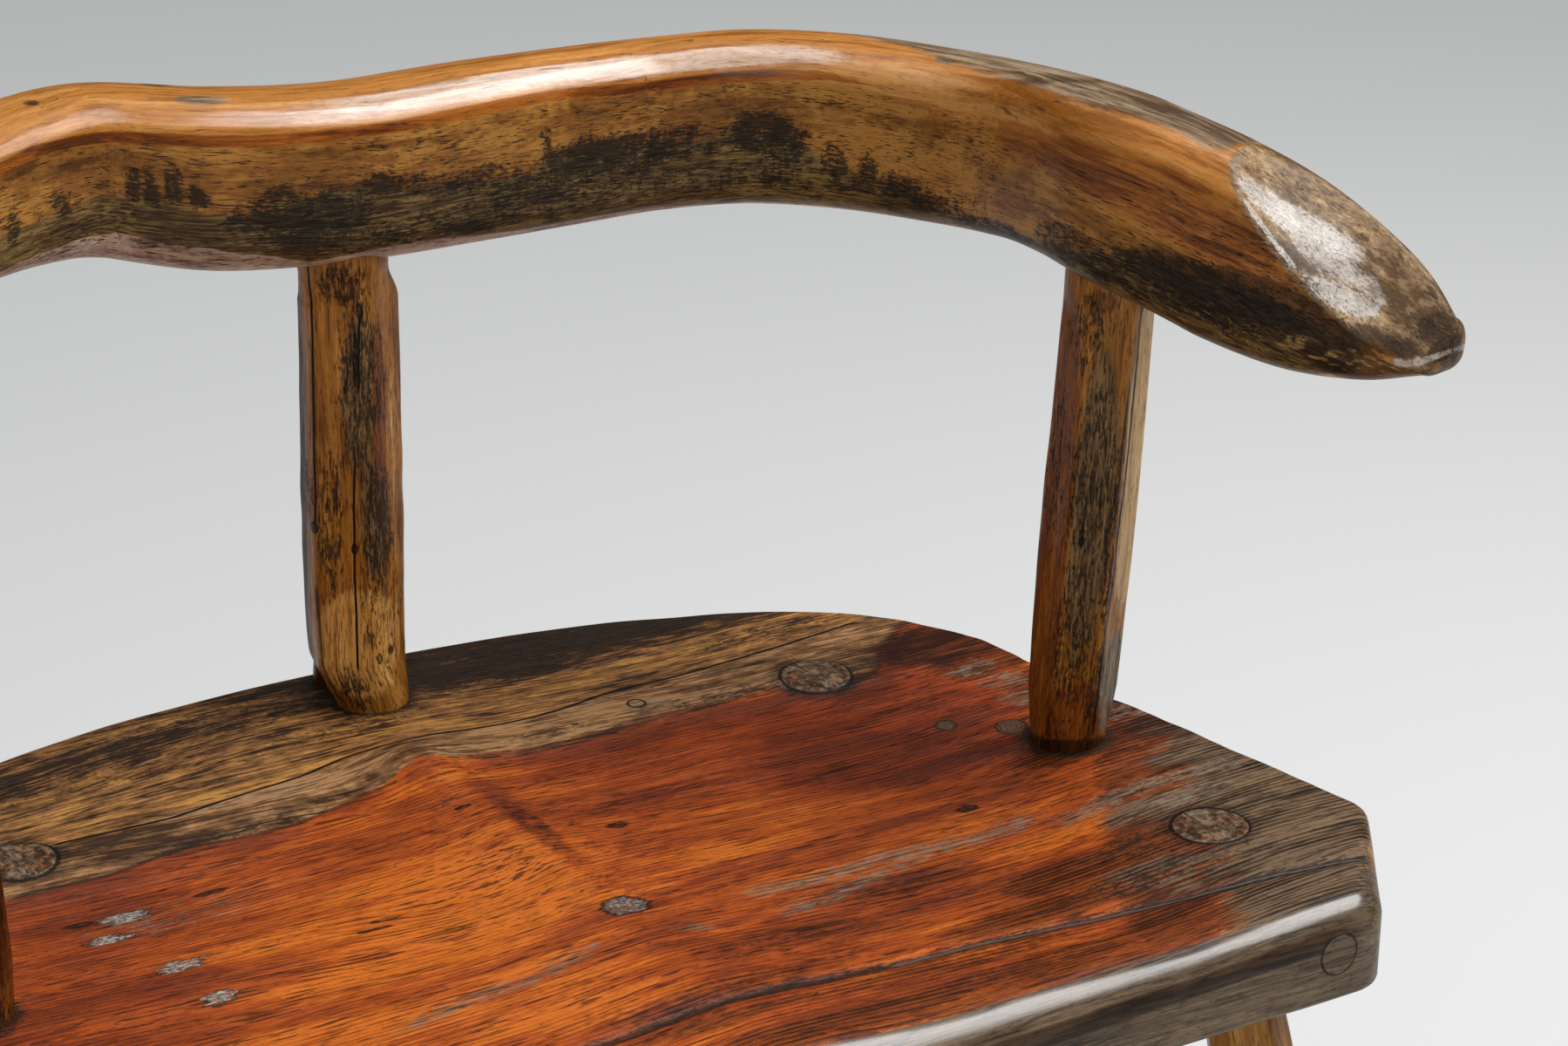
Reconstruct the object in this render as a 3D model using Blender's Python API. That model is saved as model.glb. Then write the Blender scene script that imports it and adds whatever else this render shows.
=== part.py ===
"""A low-back wooden stick armchair: slab seat, four splayed legs, four short sticks and one bent branch.

X runs across the chair, the sitter faces -Y and Z is up. Sizes are in metres. Plan sizes are measured
from the chair's middle and from the line of the back leg tenons, and heights from the floor unless a name
says otherwise. The whole chair hangs under one empty that brings the middle of its footprint to the
world's origin.
"""

import math

import bmesh
import bpy
import numpy as np
from mathutils import Vector

# Fits
GAP = 0.0003                # left between pieces that touch
CUT_OVERSHOOT = 0.010       # how far a cutter runs past the face that it opens

# Seat slab
SEAT_HEIGHT = 0.425         # floor to the flat of the seat top
SEAT_THICKNESS = 0.042
SEAT_FRONT = 0.3016         # back leg line to the front edge
SEAT_BACK = 0.1175          # back leg line to the back edge, at the middle
SEAT_HALF_WIDTH = 0.320     # middle to the widest point, just behind the clipped corner
CLIP_ACROSS = 0.048         # clipped front corner, measured along the front
CLIP_BACK = 0.070           # clipped front corner, measured along the side
CORNER_RADIUS = 0.020       # rounds both ends of the clip
SHOULDER_HALF_WIDTH = 0.284  # where the tapering side turns into the arched back
SHOULDER_FRONT = 0.034      # back leg line forward to that turn
ARCH_SQUARENESS = 2.25      # 2 is an ellipse, more is squarer
ARCH_STEPS = 13             # straight runs in each half of the arched back
FRONT_EDGE_ROUND = 0.022    # worn rounding of the front edge, at the middle
CORNER_EDGE_ROUND = 0.011   # the same at the corners
SIDE_EDGE_ROUND = 0.005     # and round the sides and the back
BOTTOM_CHAMFER = 0.003

# Twin-lobed dish worn into the seat top
DISH_DEPTH = 0.0045
DISH_CENTRE = 0.125         # middle of the chair to the middle of each lobe
DISH_HALF_WIDTH = 0.105
DISH_BACK = -0.012          # the dish starts in front of this line
DISH_SLOPE = 0.012          # how softly it starts

# Legs
TENON_RADIUS = 0.0159       # inch and a quarter auger
BACK_LEG_IN = 0.0948        # from the seat's shoulder
BACK_LEG_Y = 0.0
FRONT_LEG_IN = 0.0705       # from the seat's widest point
FRONT_LEG_Y = -0.2145
FRONT_SPLAY_OUT = 0.16      # sideways lean for each unit of drop
FRONT_SPLAY_FORWARD = 0.15
BACK_SPLAY_OUT = 0.15
BACK_SPLAY_BACK = 0.24
LEG_SHOULDER_RADIUS = 0.0172
LEG_NECK_RADIUS = 0.0190
LEG_NECK_DROP = 0.050       # seat underside to the neck
LEG_BELLY_RADIUS = 0.0212
LEG_BELLY_HEIGHT = 0.170    # floor to the thickest point
LEG_FOOT_RADIUS = 0.0175
LEG_SWELL = 0.0005          # outward bow of a leg's side between those heights
FOOT_CHAMFER = 0.003

# Wedges in the leg tenons, running front to back
WEDGE_THICKNESS = 0.0050    # at the top
WEDGE_TIP = 0.0016          # at the bottom
WEDGE_DEPTH = 0.026
WEDGE_INSET = 0.0008        # tenon's side to the wedge's end

# Sticks between seat and arm
STICK_SOCKET_IN_SEAT = 0.026
STICK_SOCKET_IN_ARM = 0.028
SIDE_STICK_X = 0.2487
SIDE_STICK_Y = -0.1132
SIDE_STICK_LEAN = 0.0070    # the side sticks' tops stand this far forward of their feet
SIDE_STICK_RADIUS = 0.0207
SIDE_STICK_FOOT = 0.0160
SIDE_STICK_TOP = 0.0174
SIDE_STICK_TOP_IN = 0.0026  # from the arm's centreline towards the sitter
BACK_STICK_X = 0.003
BACK_STICK_TOP_X = -0.0042
BACK_STICK_Y = 0.074
BACK_STICK_RADIUS = 0.0240
BACK_STICK_FOOT = 0.0160
BACK_STICK_TOP = 0.0176
BACK_STICK_FLATNESS = 0.75  # its depth as a share of its width, half way up
BACK_STICK_LOWER_BOW = (-0.0068, -0.0006)  # how far its middle strays from the straight line, near the foot
BACK_STICK_UPPER_BOW = (0.0003, -0.0011)   # and near the top
SLIM_STICK_X = -0.003
SLIM_STICK_TOP_X = 0.001
SLIM_STICK_SPACE = 0.0016   # between the back stick's foot and the slim stick's
SLIM_STICK_RADIUS = 0.0095
SLIM_STICK_FOOT = 0.0097
SLIM_STICK_TOP = 0.0088
STRAIGHT = ((0.0, 0.0), (0.0, 0.0))
STICK_FOOT_FLARE = 0.045    # seat to where a stick has nearly its full thickness
STICK_FOOT_BREAK = 0.01575  # seat to the bend in that flare, a third of the way to full thickness
STICK_BREAK_GAIN = 1.0 / 3.0
STICK_THICKEST = 0.45       # height of the thickest point, as a share of the stick's visible length
STICK_SHOULDER = 0.97       # thickness at the ends of the shaved body, as a share of the thickest
STICK_NECK = 0.009          # arm underside to where a stick is as thin as its tenon
STICK_THINNING = 0.027      # arm underside to where it starts to thin
BREAK_SHAVED = 0.35         # how far the shave marks show at the flare's bend
BODY_SHAVED = 0.95          # and at the ends of the body
NECK_SHAVED = 0.20          # and at the neck
THICKEST_BOW = 0.40         # how far the lower bow has turned into the upper one at the thickest point

# Arm bow, one naturally bent branch
ARM_RISE = 0.207            # seat top to the underside at the middle of the back
ARM_DEPTH = 0.058           # front to back, or side to side along the arms
ARM_HEIGHT = 0.074
ARM_BACK_Y = 0.084          # centreline at the middle of the back
ARM_SIDE_X = 0.260          # centreline of the arms where the side sticks enter
ARM_SPAN_STEPS = 2          # rings between two stations
ARM_PROBE = 0.01            # share of a span on each side of a ring that gives its direction
ARM_HALVINGS = 40           # steps that find where a stick meets the arm
NOSE_TIP = 0.006            # last ring to the tip
NOSE_BLUNTNESS = 0.5        # the tip's size as a share of the last ring

# Stations of the back rail from the left bend to the right bend: across, then behind ARM_BACK_Y, above the
# arm's level, and what the branch gains in depth and height there
BACK_STATIONS = (
    (-0.225, -0.044, 0.008, -0.002, -0.014),
    (-0.188, -0.022, 0.011, 0.000, -0.015),
    (-0.148, -0.002, 0.013, 0.003, -0.011),
    (-0.109, 0.008, 0.012, 0.004, -0.005),
    (-0.058, -0.001, 0.004, 0.006, 0.000),
    (0.000, 0.000, -0.001, 0.008, -0.001),
    (0.060, 0.002, -0.001, 0.004, 0.001),
    (0.110, 0.003, -0.001, 0.000, 0.001),
    (0.150, -0.001, 0.000, -0.001, 0.000),
    (0.190, -0.017, 0.002, -0.002, 0.001),
    (0.225, -0.046, 0.002, -0.001, 0.001),
)
# Stations of the right arm from the bend to the nose: outside ARM_SIDE_X, forward of the back leg line, then
# as above
RIGHT_STATIONS = (
    (-0.008, 0.000, 0.001, 0.000, 0.000),
    (0.004, 0.045, 0.003, 0.000, -0.001),
    (0.001, 0.090, 0.007, -0.001, 0.000),
    (0.001, 0.132, 0.006, 0.001, 0.004),
    (0.017, 0.167, -0.004, 0.002, 0.007),
    (0.033, 0.203, -0.014, -0.002, 0.000),
    (0.046, 0.237, -0.023, -0.014, -0.022),
    (0.051, 0.263, -0.030, -0.032, -0.051),
)
# The left arm grew a little wider apart
LEFT_STATIONS = (
    (-0.010, 0.000, 0.005, 0.000, -0.008),
    (0.001, 0.045, 0.004, 0.001, -0.004),
    (0.004, 0.090, 0.006, 0.000, -0.001),
    (0.009, 0.132, 0.005, 0.000, 0.002),
    (0.021, 0.167, -0.003, 0.001, 0.005),
    (0.035, 0.203, -0.013, -0.003, -0.001),
    (0.047, 0.237, -0.022, -0.014, -0.021),
    (0.053, 0.261, -0.028, -0.033, -0.052),
)
# The branch's section as shares of half its depth and half its height: flat inner face, crisp inner arris,
# round top
ARM_SECTION = (
    (-1.00, 0.60), (-0.86, 0.82), (-0.60, 0.95), (-0.25, 1.00),
    (0.15, 0.98), (0.55, 0.88), (0.85, 0.62), (1.00, 0.20),
    (1.00, -0.30), (0.85, -0.72), (0.50, -0.95), (0.00, -1.00),
    (-0.50, -1.00), (-0.85, -0.88), (-1.00, -0.65), (-1.03, 0.00),
)

# Peg in the front edge
PEG_RADIUS = 0.0095
PEG_LENGTH = 0.030
PEG_IN = 0.071              # from the seat's widest point
PEG_BELOW_TOP = 0.0205

# Facets and rings
ROUND_SIDES = 20            # sides of a tenon or a peg
STRAIGHT_SHARES = (0.25, 0.5, 0.75)  # points along a straight run of the seat's outline
SEAT_MIDDLE = 1.0 / 3.0     # the top's rings close in on this share of the way to the front edge
CORNER_STEPS = 4            # straight runs round a seat corner
EDGE_ANGLES = (0.0, 25.0, 50.0, 70.0, 90.0)  # rings over the seat's rounded edge, in degrees
TOP_RINGS = (0.90, 0.78, 0.65, 0.50, 0.34, 0.18, 0.06)  # rings across the seat's top, shares of its outline
FACET_SHARE = 0.55          # 0 leaves a shaved piece round, 1 makes it a true octagon
FACETS = 8
SHARP_ANGLE = 40.0          # edges that turn more than this, in degrees, stay crisp

# Wood finishes: colour, roughness
SEAT_FINISH = ((0.36, 0.090, 0.028, 1.0), 0.34)
ARM_FINISH = ((0.40, 0.180, 0.060, 1.0), 0.30)
STICK_FINISH = ((0.33, 0.150, 0.050, 1.0), 0.38)
LEG_FINISH = ((0.42, 0.230, 0.095, 1.0), 0.42)
WEDGE_FINISH = ((0.26, 0.120, 0.050, 1.0), 0.50)
PEG_FINISH = ((0.20, 0.130, 0.065, 1.0), 0.55)

SEAT_UNDERSIDE = SEAT_HEIGHT - SEAT_THICKNESS
ARM_LEVEL = SEAT_HEIGHT + ARM_RISE + ARM_HEIGHT / 2.0
FRONT_LEG_X = SEAT_HALF_WIDTH - FRONT_LEG_IN
BACK_LEG_X = SHOULDER_HALF_WIDTH - BACK_LEG_IN
PEG_X = SEAT_HALF_WIDTH - PEG_IN


def clear_scene():
    """Remove every object that the file starts with."""
    for thing in list(bpy.data.objects):
        bpy.data.objects.remove(thing, do_unlink=True)


def wood(name, finish):
    """A plain wood material of one colour and roughness."""
    colour, roughness = finish
    material = bpy.data.materials.new(name)
    material.use_nodes = True
    shader = material.node_tree.nodes["Principled BSDF"]
    shader.inputs["Base Color"].default_value = colour
    shader.inputs["Roughness"].default_value = roughness
    shader.inputs["Metallic"].default_value = 0.0
    material.diffuse_color = colour
    return material


def add_object(name, mesh, parent, finish=None):
    """Link a mesh under the chair's empty. Without a finish it is a cutter, left out of the model."""
    thing = bpy.data.objects.new(name, mesh)
    bpy.context.scene.collection.objects.link(thing)
    thing.parent = parent
    if finish is None:
        thing.hide_render = True
        thing.display_type = "WIRE"
    else:
        mesh.materials.append(wood(name + "_wood", finish))
    return thing


def loft(name, rings, smooth=True):
    """A closed mesh through rings that have the same number of points, its ends capped."""
    bm = bmesh.new()
    loops = [[bm.verts.new(point) for point in ring] for ring in rings]
    count = len(loops[0])
    for lower, upper in zip(loops, loops[1:]):
        for side in range(count):
            after = (side + 1) % count
            bm.faces.new((lower[side], lower[after], upper[after], upper[side]))
    bm.faces.new(list(reversed(loops[0])))
    bm.faces.new(loops[-1])
    bmesh.ops.recalc_face_normals(bm, faces=bm.faces)
    mesh = bpy.data.meshes.new(name)
    bm.to_mesh(mesh)
    bm.free()
    if smooth:
        mesh.shade_smooth()
        mesh.set_sharp_from_angle(angle=math.radians(SHARP_ANGLE))
    return mesh


def cut(thing, cutter):
    """Take the cutter's shape out of a solid."""
    modifier = thing.modifiers.new("cut_" + cutter.name, "BOOLEAN")
    modifier.operation = "DIFFERENCE"
    modifier.solver = "EXACT"
    modifier.object = cutter


def ring_at(centre, height, radius, facet_share=0.0, flatness=1.0):
    """A level ring of points. A facet share turns it towards an octagon, a flatness thins it in Y."""
    points = []
    step = 2.0 * math.pi / FACETS
    for side in range(ROUND_SIDES):
        angle = 2.0 * math.pi * side / ROUND_SIDES
        octagon = math.cos(step / 2.0) / math.cos(angle % step - step / 2.0)
        reach = radius * (1.0 + facet_share * (octagon - 1.0))
        x = centre[0] + reach * math.cos(angle)
        y = centre[1] + reach * math.sin(angle) * flatness
        points.append((x, y, height))
    return points


def smooth_step(value):
    """0 below 0, 1 above 1 and a soft S between."""
    share = min(max(value, 0.0), 1.0)
    return share * share * (3.0 - 2.0 * share)


# Seat


def dish(x, y):
    """How far the worn dish lies below the flat of the seat."""
    across = math.exp(-(((abs(x) - DISH_CENTRE) / DISH_HALF_WIDTH) ** 4))
    along = 1.0 / (1.0 + math.exp((y - DISH_BACK) / DISH_SLOPE))
    return DISH_DEPTH * across * along


def fillet(before, corner, after, radius, steps=CORNER_STEPS):
    """Points of an arc that rounds a corner between two straight edges."""
    back = (Vector(before) - Vector(corner)).normalized()
    ahead = (Vector(after) - Vector(corner)).normalized()
    half = back.angle(ahead) / 2.0
    middle = Vector(corner) + (back + ahead).normalized() * radius / math.sin(half)
    start = Vector(corner) + back * radius / math.tan(half) - middle
    end = Vector(corner) + ahead * radius / math.tan(half) - middle
    turn = start.angle(end)
    points = []
    for step in range(steps + 1):
        share = step / steps
        ray = start * math.sin((1.0 - share) * turn) + end * math.sin(share * turn)
        points.append(tuple(middle + ray / math.sin(turn)))
    return points


def seat_outline():
    """The seat's plan, anticlockwise from mid front: straight front, clipped corner, arched back."""
    front_corner = (SEAT_HALF_WIDTH - CLIP_ACROSS, -SEAT_FRONT)
    side_corner = (SEAT_HALF_WIDTH, CLIP_BACK - SEAT_FRONT)
    shoulder = (SHOULDER_HALF_WIDTH, -SHOULDER_FRONT)
    right = [(front_corner[0] * share, -SEAT_FRONT) for share in STRAIGHT_SHARES]
    right += fillet((0.0, -SEAT_FRONT), front_corner, side_corner, CORNER_RADIUS)
    right += fillet(front_corner, side_corner, shoulder, CORNER_RADIUS)
    for share in STRAIGHT_SHARES:
        right.append(tuple(Vector(side_corner).lerp(Vector(shoulder), share)))
    for step in range(ARCH_STEPS):
        angle = math.pi / 2.0 * step / ARCH_STEPS
        x = SHOULDER_HALF_WIDTH * math.cos(angle) ** (2.0 / ARCH_SQUARENESS)
        y = (SEAT_BACK + SHOULDER_FRONT) * math.sin(angle) ** (2.0 / ARCH_SQUARENESS) - SHOULDER_FRONT
        right.append((x, y))
    left = [(-x, y) for x, y in reversed(right)]
    return [(0.0, -SEAT_FRONT)] + right + [(0.0, SEAT_BACK)] + left


def edge_round(x, y):
    """Radius of the worn top edge at a point of the outline."""
    front = CORNER_EDGE_ROUND + (FRONT_EDGE_ROUND - CORNER_EDGE_ROUND) * (1.0 - (x / SEAT_HALF_WIDTH) ** 2)
    share = smooth_step((-y - SEAT_FRONT + CLIP_BACK) / CLIP_BACK)
    return SIDE_EDGE_ROUND + (front - SIDE_EDGE_ROUND) * share


def inward(outline):
    """The unit vector that points into the seat at each point of its outline."""
    points = np.array(outline)
    along = np.roll(points, -1, axis=0) - np.roll(points, 1, axis=0)
    along /= np.linalg.norm(along, axis=1)[:, None]
    return np.stack([-along[:, 1], along[:, 0]], axis=1)


def seat_mesh():
    """The slab: chamfered underside, upright sides, rounded top edge and the dished top."""
    outline = np.array(seat_outline())
    normal = inward(outline)
    radius = np.array([edge_round(x, y) for x, y in outline])
    rings = []
    for inset, height in ((BOTTOM_CHAMFER, SEAT_UNDERSIDE), (0.0, SEAT_UNDERSIDE + BOTTOM_CHAMFER)):
        rings.append([(x, y, height) for x, y in outline + normal * inset])
    for angle in EDGE_ANGLES:
        inset = radius * (1.0 - math.cos(math.radians(angle)))
        drop = radius * (1.0 - math.sin(math.radians(angle)))
        loop = outline + normal * inset[:, None]
        rings.append([(x, y, SEAT_HEIGHT - dish(x, y) - low) for (x, y), low in zip(loop, drop)])
    middle = np.array((0.0, -SEAT_FRONT * SEAT_MIDDLE))
    for share in TOP_RINGS:
        rings.append([(x, y, SEAT_HEIGHT - dish(x, y)) for x, y in middle + (loop - middle) * share])
    return loft("seat", rings)


# Legs and wedges


def leg_centre(foot, height):
    """The centre of a leg's axis at a height. A leg is (x, y, lean in X, lean in Y) at the seat top."""
    x, y, lean_x, lean_y = foot
    drop = SEAT_HEIGHT - height
    return x + lean_x * drop, y + lean_y * drop


def leg_mesh(name, leg, tenon_top):
    """A shaved leg from its foot to the end of its round tenon."""
    under = SEAT_UNDERSIDE - GAP
    neck = SEAT_UNDERSIDE - LEG_NECK_DROP
    calf = (LEG_FOOT_RADIUS + LEG_BELLY_RADIUS) / 2.0 + LEG_SWELL
    thigh = (LEG_BELLY_RADIUS + LEG_NECK_RADIUS) / 2.0 + LEG_SWELL
    stack = (
        (0.0, LEG_FOOT_RADIUS - FOOT_CHAMFER, FACET_SHARE),
        (FOOT_CHAMFER, LEG_FOOT_RADIUS, FACET_SHARE),
        ((FOOT_CHAMFER + LEG_BELLY_HEIGHT) / 2.0, calf, FACET_SHARE),
        (LEG_BELLY_HEIGHT, LEG_BELLY_RADIUS, FACET_SHARE),
        ((LEG_BELLY_HEIGHT + neck) / 2.0, thigh, FACET_SHARE),
        (neck, LEG_NECK_RADIUS, FACET_SHARE),
        (under, LEG_SHOULDER_RADIUS, 0.0),
        (under, TENON_RADIUS, 0.0),
        (tenon_top, TENON_RADIUS, 0.0),
    )
    return loft(name, [ring_at(leg_centre(leg, z), z, radius, share) for z, radius, share in stack])


def wedge_mesh(name, leg, tenon_top, clearance=0.0, half_length=TENON_RADIUS - WEDGE_INSET, above=0.0):
    """A thin tapering wedge down the tenon's middle. With a clearance it is the slot's cutter."""
    rings = []
    for height in (tenon_top - WEDGE_DEPTH - clearance, tenon_top + above):
        x, y = leg_centre(leg, height)
        taper = (tenon_top - height) / WEDGE_DEPTH
        half = (WEDGE_THICKNESS + (WEDGE_TIP - WEDGE_THICKNESS) * taper) / 2.0 + clearance
        corners = ((-half, -half_length), (half, -half_length), (half, half_length), (-half, half_length))
        rings.append([(x + dx, y + dy, height) for dx, dy in corners])
    return loft(name, rings, smooth=False)


def add_leg(place, leg, seat, parent):
    """One leg with its wedge, and the mortise that both sit in."""
    tenon_top = SEAT_HEIGHT - dish(leg[0], leg[1])
    thing = add_object("leg_" + place, leg_mesh("leg_" + place, leg, tenon_top), parent, LEG_FINISH)
    slot_name = "slot_" + place
    slot = wedge_mesh(slot_name, leg, tenon_top, GAP, TENON_RADIUS + CUT_OVERSHOOT, CUT_OVERSHOOT)
    cut(thing, add_object(slot_name, slot, parent))
    wedge_name = "wedge_" + place
    add_object(wedge_name, wedge_mesh(wedge_name, leg, tenon_top), parent, WEDGE_FINISH)
    heights = (SEAT_UNDERSIDE - CUT_OVERSHOOT, SEAT_HEIGHT + CUT_OVERSHOOT)
    mortise = [ring_at(leg_centre(leg, z), z, TENON_RADIUS + GAP) for z in heights]
    cut(seat, add_object("mortise_" + place, loft("mortise_" + place, mortise), parent))


# Arm bow


def arm_stations():
    """All stations from the left nose to the right nose: x, y, z, depth and height."""
    left = []
    for out, ahead, up, deep, tall in reversed(LEFT_STATIONS):
        left.append((-ARM_SIDE_X - out, -ahead, up, deep, tall))
    back = [(x, ARM_BACK_Y + behind, up, deep, tall) for x, behind, up, deep, tall in BACK_STATIONS]
    right = [(ARM_SIDE_X + out, -ahead, up, deep, tall) for out, ahead, up, deep, tall in RIGHT_STATIONS]
    level = (0.0, 0.0, ARM_LEVEL, ARM_DEPTH, ARM_HEIGHT)
    return np.array(left + back + right) + level


def arm_curve(stations, position):
    """The stations' values at a position along them, by a curve that passes through every station."""
    last = len(stations) - 1
    index = min(int(position), last - 1)
    share = position - index
    one, two = stations[index], stations[index + 1]
    before = stations[index - 1] if index > 0 else 2.0 * one - two
    after = stations[index + 2] if index + 2 <= last else 2.0 * two - one
    start, end = (two - before) / 2.0, (after - one) / 2.0
    cube, square = share ** 3, share ** 2
    value = one * (2.0 * cube - 3.0 * square + 1.0) + start * (cube - 2.0 * square + share)
    return value + two * (3.0 * square - 2.0 * cube) + end * (cube - square)


def arm_ring(stations, position, shrink=1.0, ahead=0.0):
    """The branch's section at a position, its flat face towards the sitter."""
    value = arm_curve(stations, position)
    near = arm_curve(stations, max(position - ARM_PROBE, 0.0))
    far = arm_curve(stations, min(position + ARM_PROBE, len(stations) - 1.0))
    along = Vector((far[0] - near[0], far[1] - near[1])).normalized()
    x, y, z, depth, height = value
    ring = []
    for out, up in ARM_SECTION:
        reach = out * depth / 2.0 * shrink
        px = x - along.y * reach + along.x * ahead
        py = y + along.x * reach + along.y * ahead
        ring.append((px, py, z + up * height / 2.0 * shrink))
    return ring


def arm_mesh():
    """The branch from nose to nose, each nose drawn in to a blunt tip."""
    stations = arm_stations()
    last = len(stations) - 1
    count = last * ARM_SPAN_STEPS
    rings = [arm_ring(stations, last * step / count) for step in range(count + 1)]
    rings.insert(0, arm_ring(stations, 0.0, NOSE_BLUNTNESS, -NOSE_TIP))
    rings.append(arm_ring(stations, float(last), NOSE_BLUNTNESS, NOSE_TIP))
    return loft("arm_bow", rings)


def arm_position(test):
    """The position along the arm, found by halving, where a rising test of its centreline passes zero."""
    stations = arm_stations()
    low, high = 0.0, len(stations) - 1.0
    for _ in range(ARM_HALVINGS):
        middle = (low + high) / 2.0
        if test(arm_curve(stations, middle)) < 0.0:
            low = middle
        else:
            high = middle
    return arm_curve(stations, low)


# Sticks


def stick_mesh(name, foot, top, radii, bows, flatness):
    """A shaved stick from its seat tenon to its arm tenon. Foot and top are where it leaves the wood."""
    foot, top = Vector(foot), Vector(top)
    lower_bow, upper_bow = Vector(bows[0]), Vector(bows[1])
    foot_radius, body_radius, top_radius = radii
    length = top.z - foot.z
    shoulder = body_radius * STICK_SHOULDER
    bend = foot_radius + (body_radius - foot_radius) * STICK_BREAK_GAIN
    # Rise above the seat, radius, share of the shaved shape, share of the upper bow in the body's bow
    stack = (
        (-STICK_SOCKET_IN_SEAT, foot_radius, 0.0, 0.0),
        (0.0, foot_radius, 0.0, 0.0),
        (STICK_FOOT_BREAK, bend, BREAK_SHAVED, 0.0),
        (STICK_FOOT_FLARE, shoulder, BODY_SHAVED, 0.0),
        (length * STICK_THICKEST, body_radius, 1.0, THICKEST_BOW),
        (length - STICK_THINNING, shoulder, BODY_SHAVED, 1.0),
        (length - STICK_NECK, top_radius, NECK_SHAVED, 1.0),
        (length, top_radius, 0.0, 1.0),
        (length + STICK_SOCKET_IN_ARM, top_radius, 0.0, 1.0),
    )
    rings = []
    for rise, radius, shaved, upper in stack:
        centre = foot.lerp(top, rise / length)
        bow = lower_bow.lerp(upper_bow, upper) * shaved
        thin = 1.0 + (flatness - 1.0) * shaved
        middle = (centre.x + bow.x, centre.y + bow.y)
        rings.append(ring_at(middle, foot.z + rise, radius, FACET_SHARE * shaved, thin))
    return loft(name, rings)


def socket(name, foot, top, heights, radius, parent):
    """A cutter along a stick's line between two heights."""
    foot, top = Vector(foot), Vector(top)
    rings = []
    for height in heights:
        centre = foot.lerp(top, (height - foot.z) / (top.z - foot.z))
        rings.append(ring_at((centre.x, centre.y), height, radius + GAP))
    return add_object(name, loft(name, rings), parent)


def add_stick(place, foot, top, radii, seat, arm, parent, bows=STRAIGHT, flatness=1.0):
    """One stick with its blind sockets in the seat and in the arm."""
    name = "stick_" + place
    add_object(name, stick_mesh(name, foot, top, radii, bows, flatness), parent, STICK_FINISH)
    seat_heights = (foot[2] - STICK_SOCKET_IN_SEAT - GAP, foot[2] + CUT_OVERSHOOT)
    cut(seat, socket("seat_socket_" + place, foot, top, seat_heights, radii[0], parent))
    arm_heights = (top[2] - 2.0 * CUT_OVERSHOOT, top[2] + STICK_SOCKET_IN_ARM + GAP)
    cut(arm, socket("arm_socket_" + place, foot, top, arm_heights, radii[2], parent))


def arm_over(side, y):
    """The arm's values where it passes over a line, on the right for side 1 and on the left for -1."""

    def test(value):
        if value[0] * side > 0.0:
            return side * (y - value[1])
        return -side

    return arm_position(test)


def add_sticks(seat, arm, parent):
    """Two side sticks under the arms and two at the back, the slim one close behind the thick one."""
    side_radii = (SIDE_STICK_FOOT, SIDE_STICK_RADIUS, SIDE_STICK_TOP)
    top_y = SIDE_STICK_Y - SIDE_STICK_LEAN
    for place, side in (("left", -1.0), ("right", 1.0)):
        crossing = arm_over(side, top_y)
        foot = (side * SIDE_STICK_X, SIDE_STICK_Y, SEAT_HEIGHT - dish(SIDE_STICK_X, SIDE_STICK_Y))
        top = (crossing[0] - side * SIDE_STICK_TOP_IN, top_y, crossing[2] - crossing[4] / 2.0)
        add_stick(place, foot, top, side_radii, seat, arm, parent)
    middle = arm_position(lambda value: value[0])
    under = middle[2] - middle[4] / 2.0
    foot = (BACK_STICK_X, BACK_STICK_Y, SEAT_HEIGHT)
    top = (BACK_STICK_TOP_X, BACK_STICK_Y, under)
    radii = (BACK_STICK_FOOT, BACK_STICK_RADIUS, BACK_STICK_TOP)
    bows = (BACK_STICK_LOWER_BOW, BACK_STICK_UPPER_BOW)
    add_stick("back", foot, top, radii, seat, arm, parent, bows, BACK_STICK_FLATNESS)
    slim_y = BACK_STICK_Y + BACK_STICK_FOOT + SLIM_STICK_SPACE + SLIM_STICK_FOOT
    foot = (SLIM_STICK_X, slim_y, SEAT_HEIGHT)
    top = (SLIM_STICK_TOP_X, slim_y, under)
    radii = (SLIM_STICK_FOOT, SLIM_STICK_RADIUS, SLIM_STICK_TOP)
    add_stick("back_slim", foot, top, radii, seat, arm, parent)


# Peg


def add_peg(seat, parent):
    """The round peg let into the seat's front edge."""
    height = SEAT_HEIGHT - PEG_BELOW_TOP

    def rings(radius, front, back):
        loops = []
        for y in (front, back):
            loops.append([(PEG_X + x, y, height + z) for x, z, _ in ring_at((0.0, 0.0), 0.0, radius)])
        return loops

    peg = loft("front_peg", rings(PEG_RADIUS, -SEAT_FRONT, -SEAT_FRONT + PEG_LENGTH))
    add_object("front_peg", peg, parent, PEG_FINISH)
    hole_front = -SEAT_FRONT - CUT_OVERSHOOT
    hole_back = -SEAT_FRONT + PEG_LENGTH + GAP
    hole = loft("peg_hole", rings(PEG_RADIUS + GAP, hole_front, hole_back))
    cut(seat, add_object("peg_hole", hole, parent))


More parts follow.
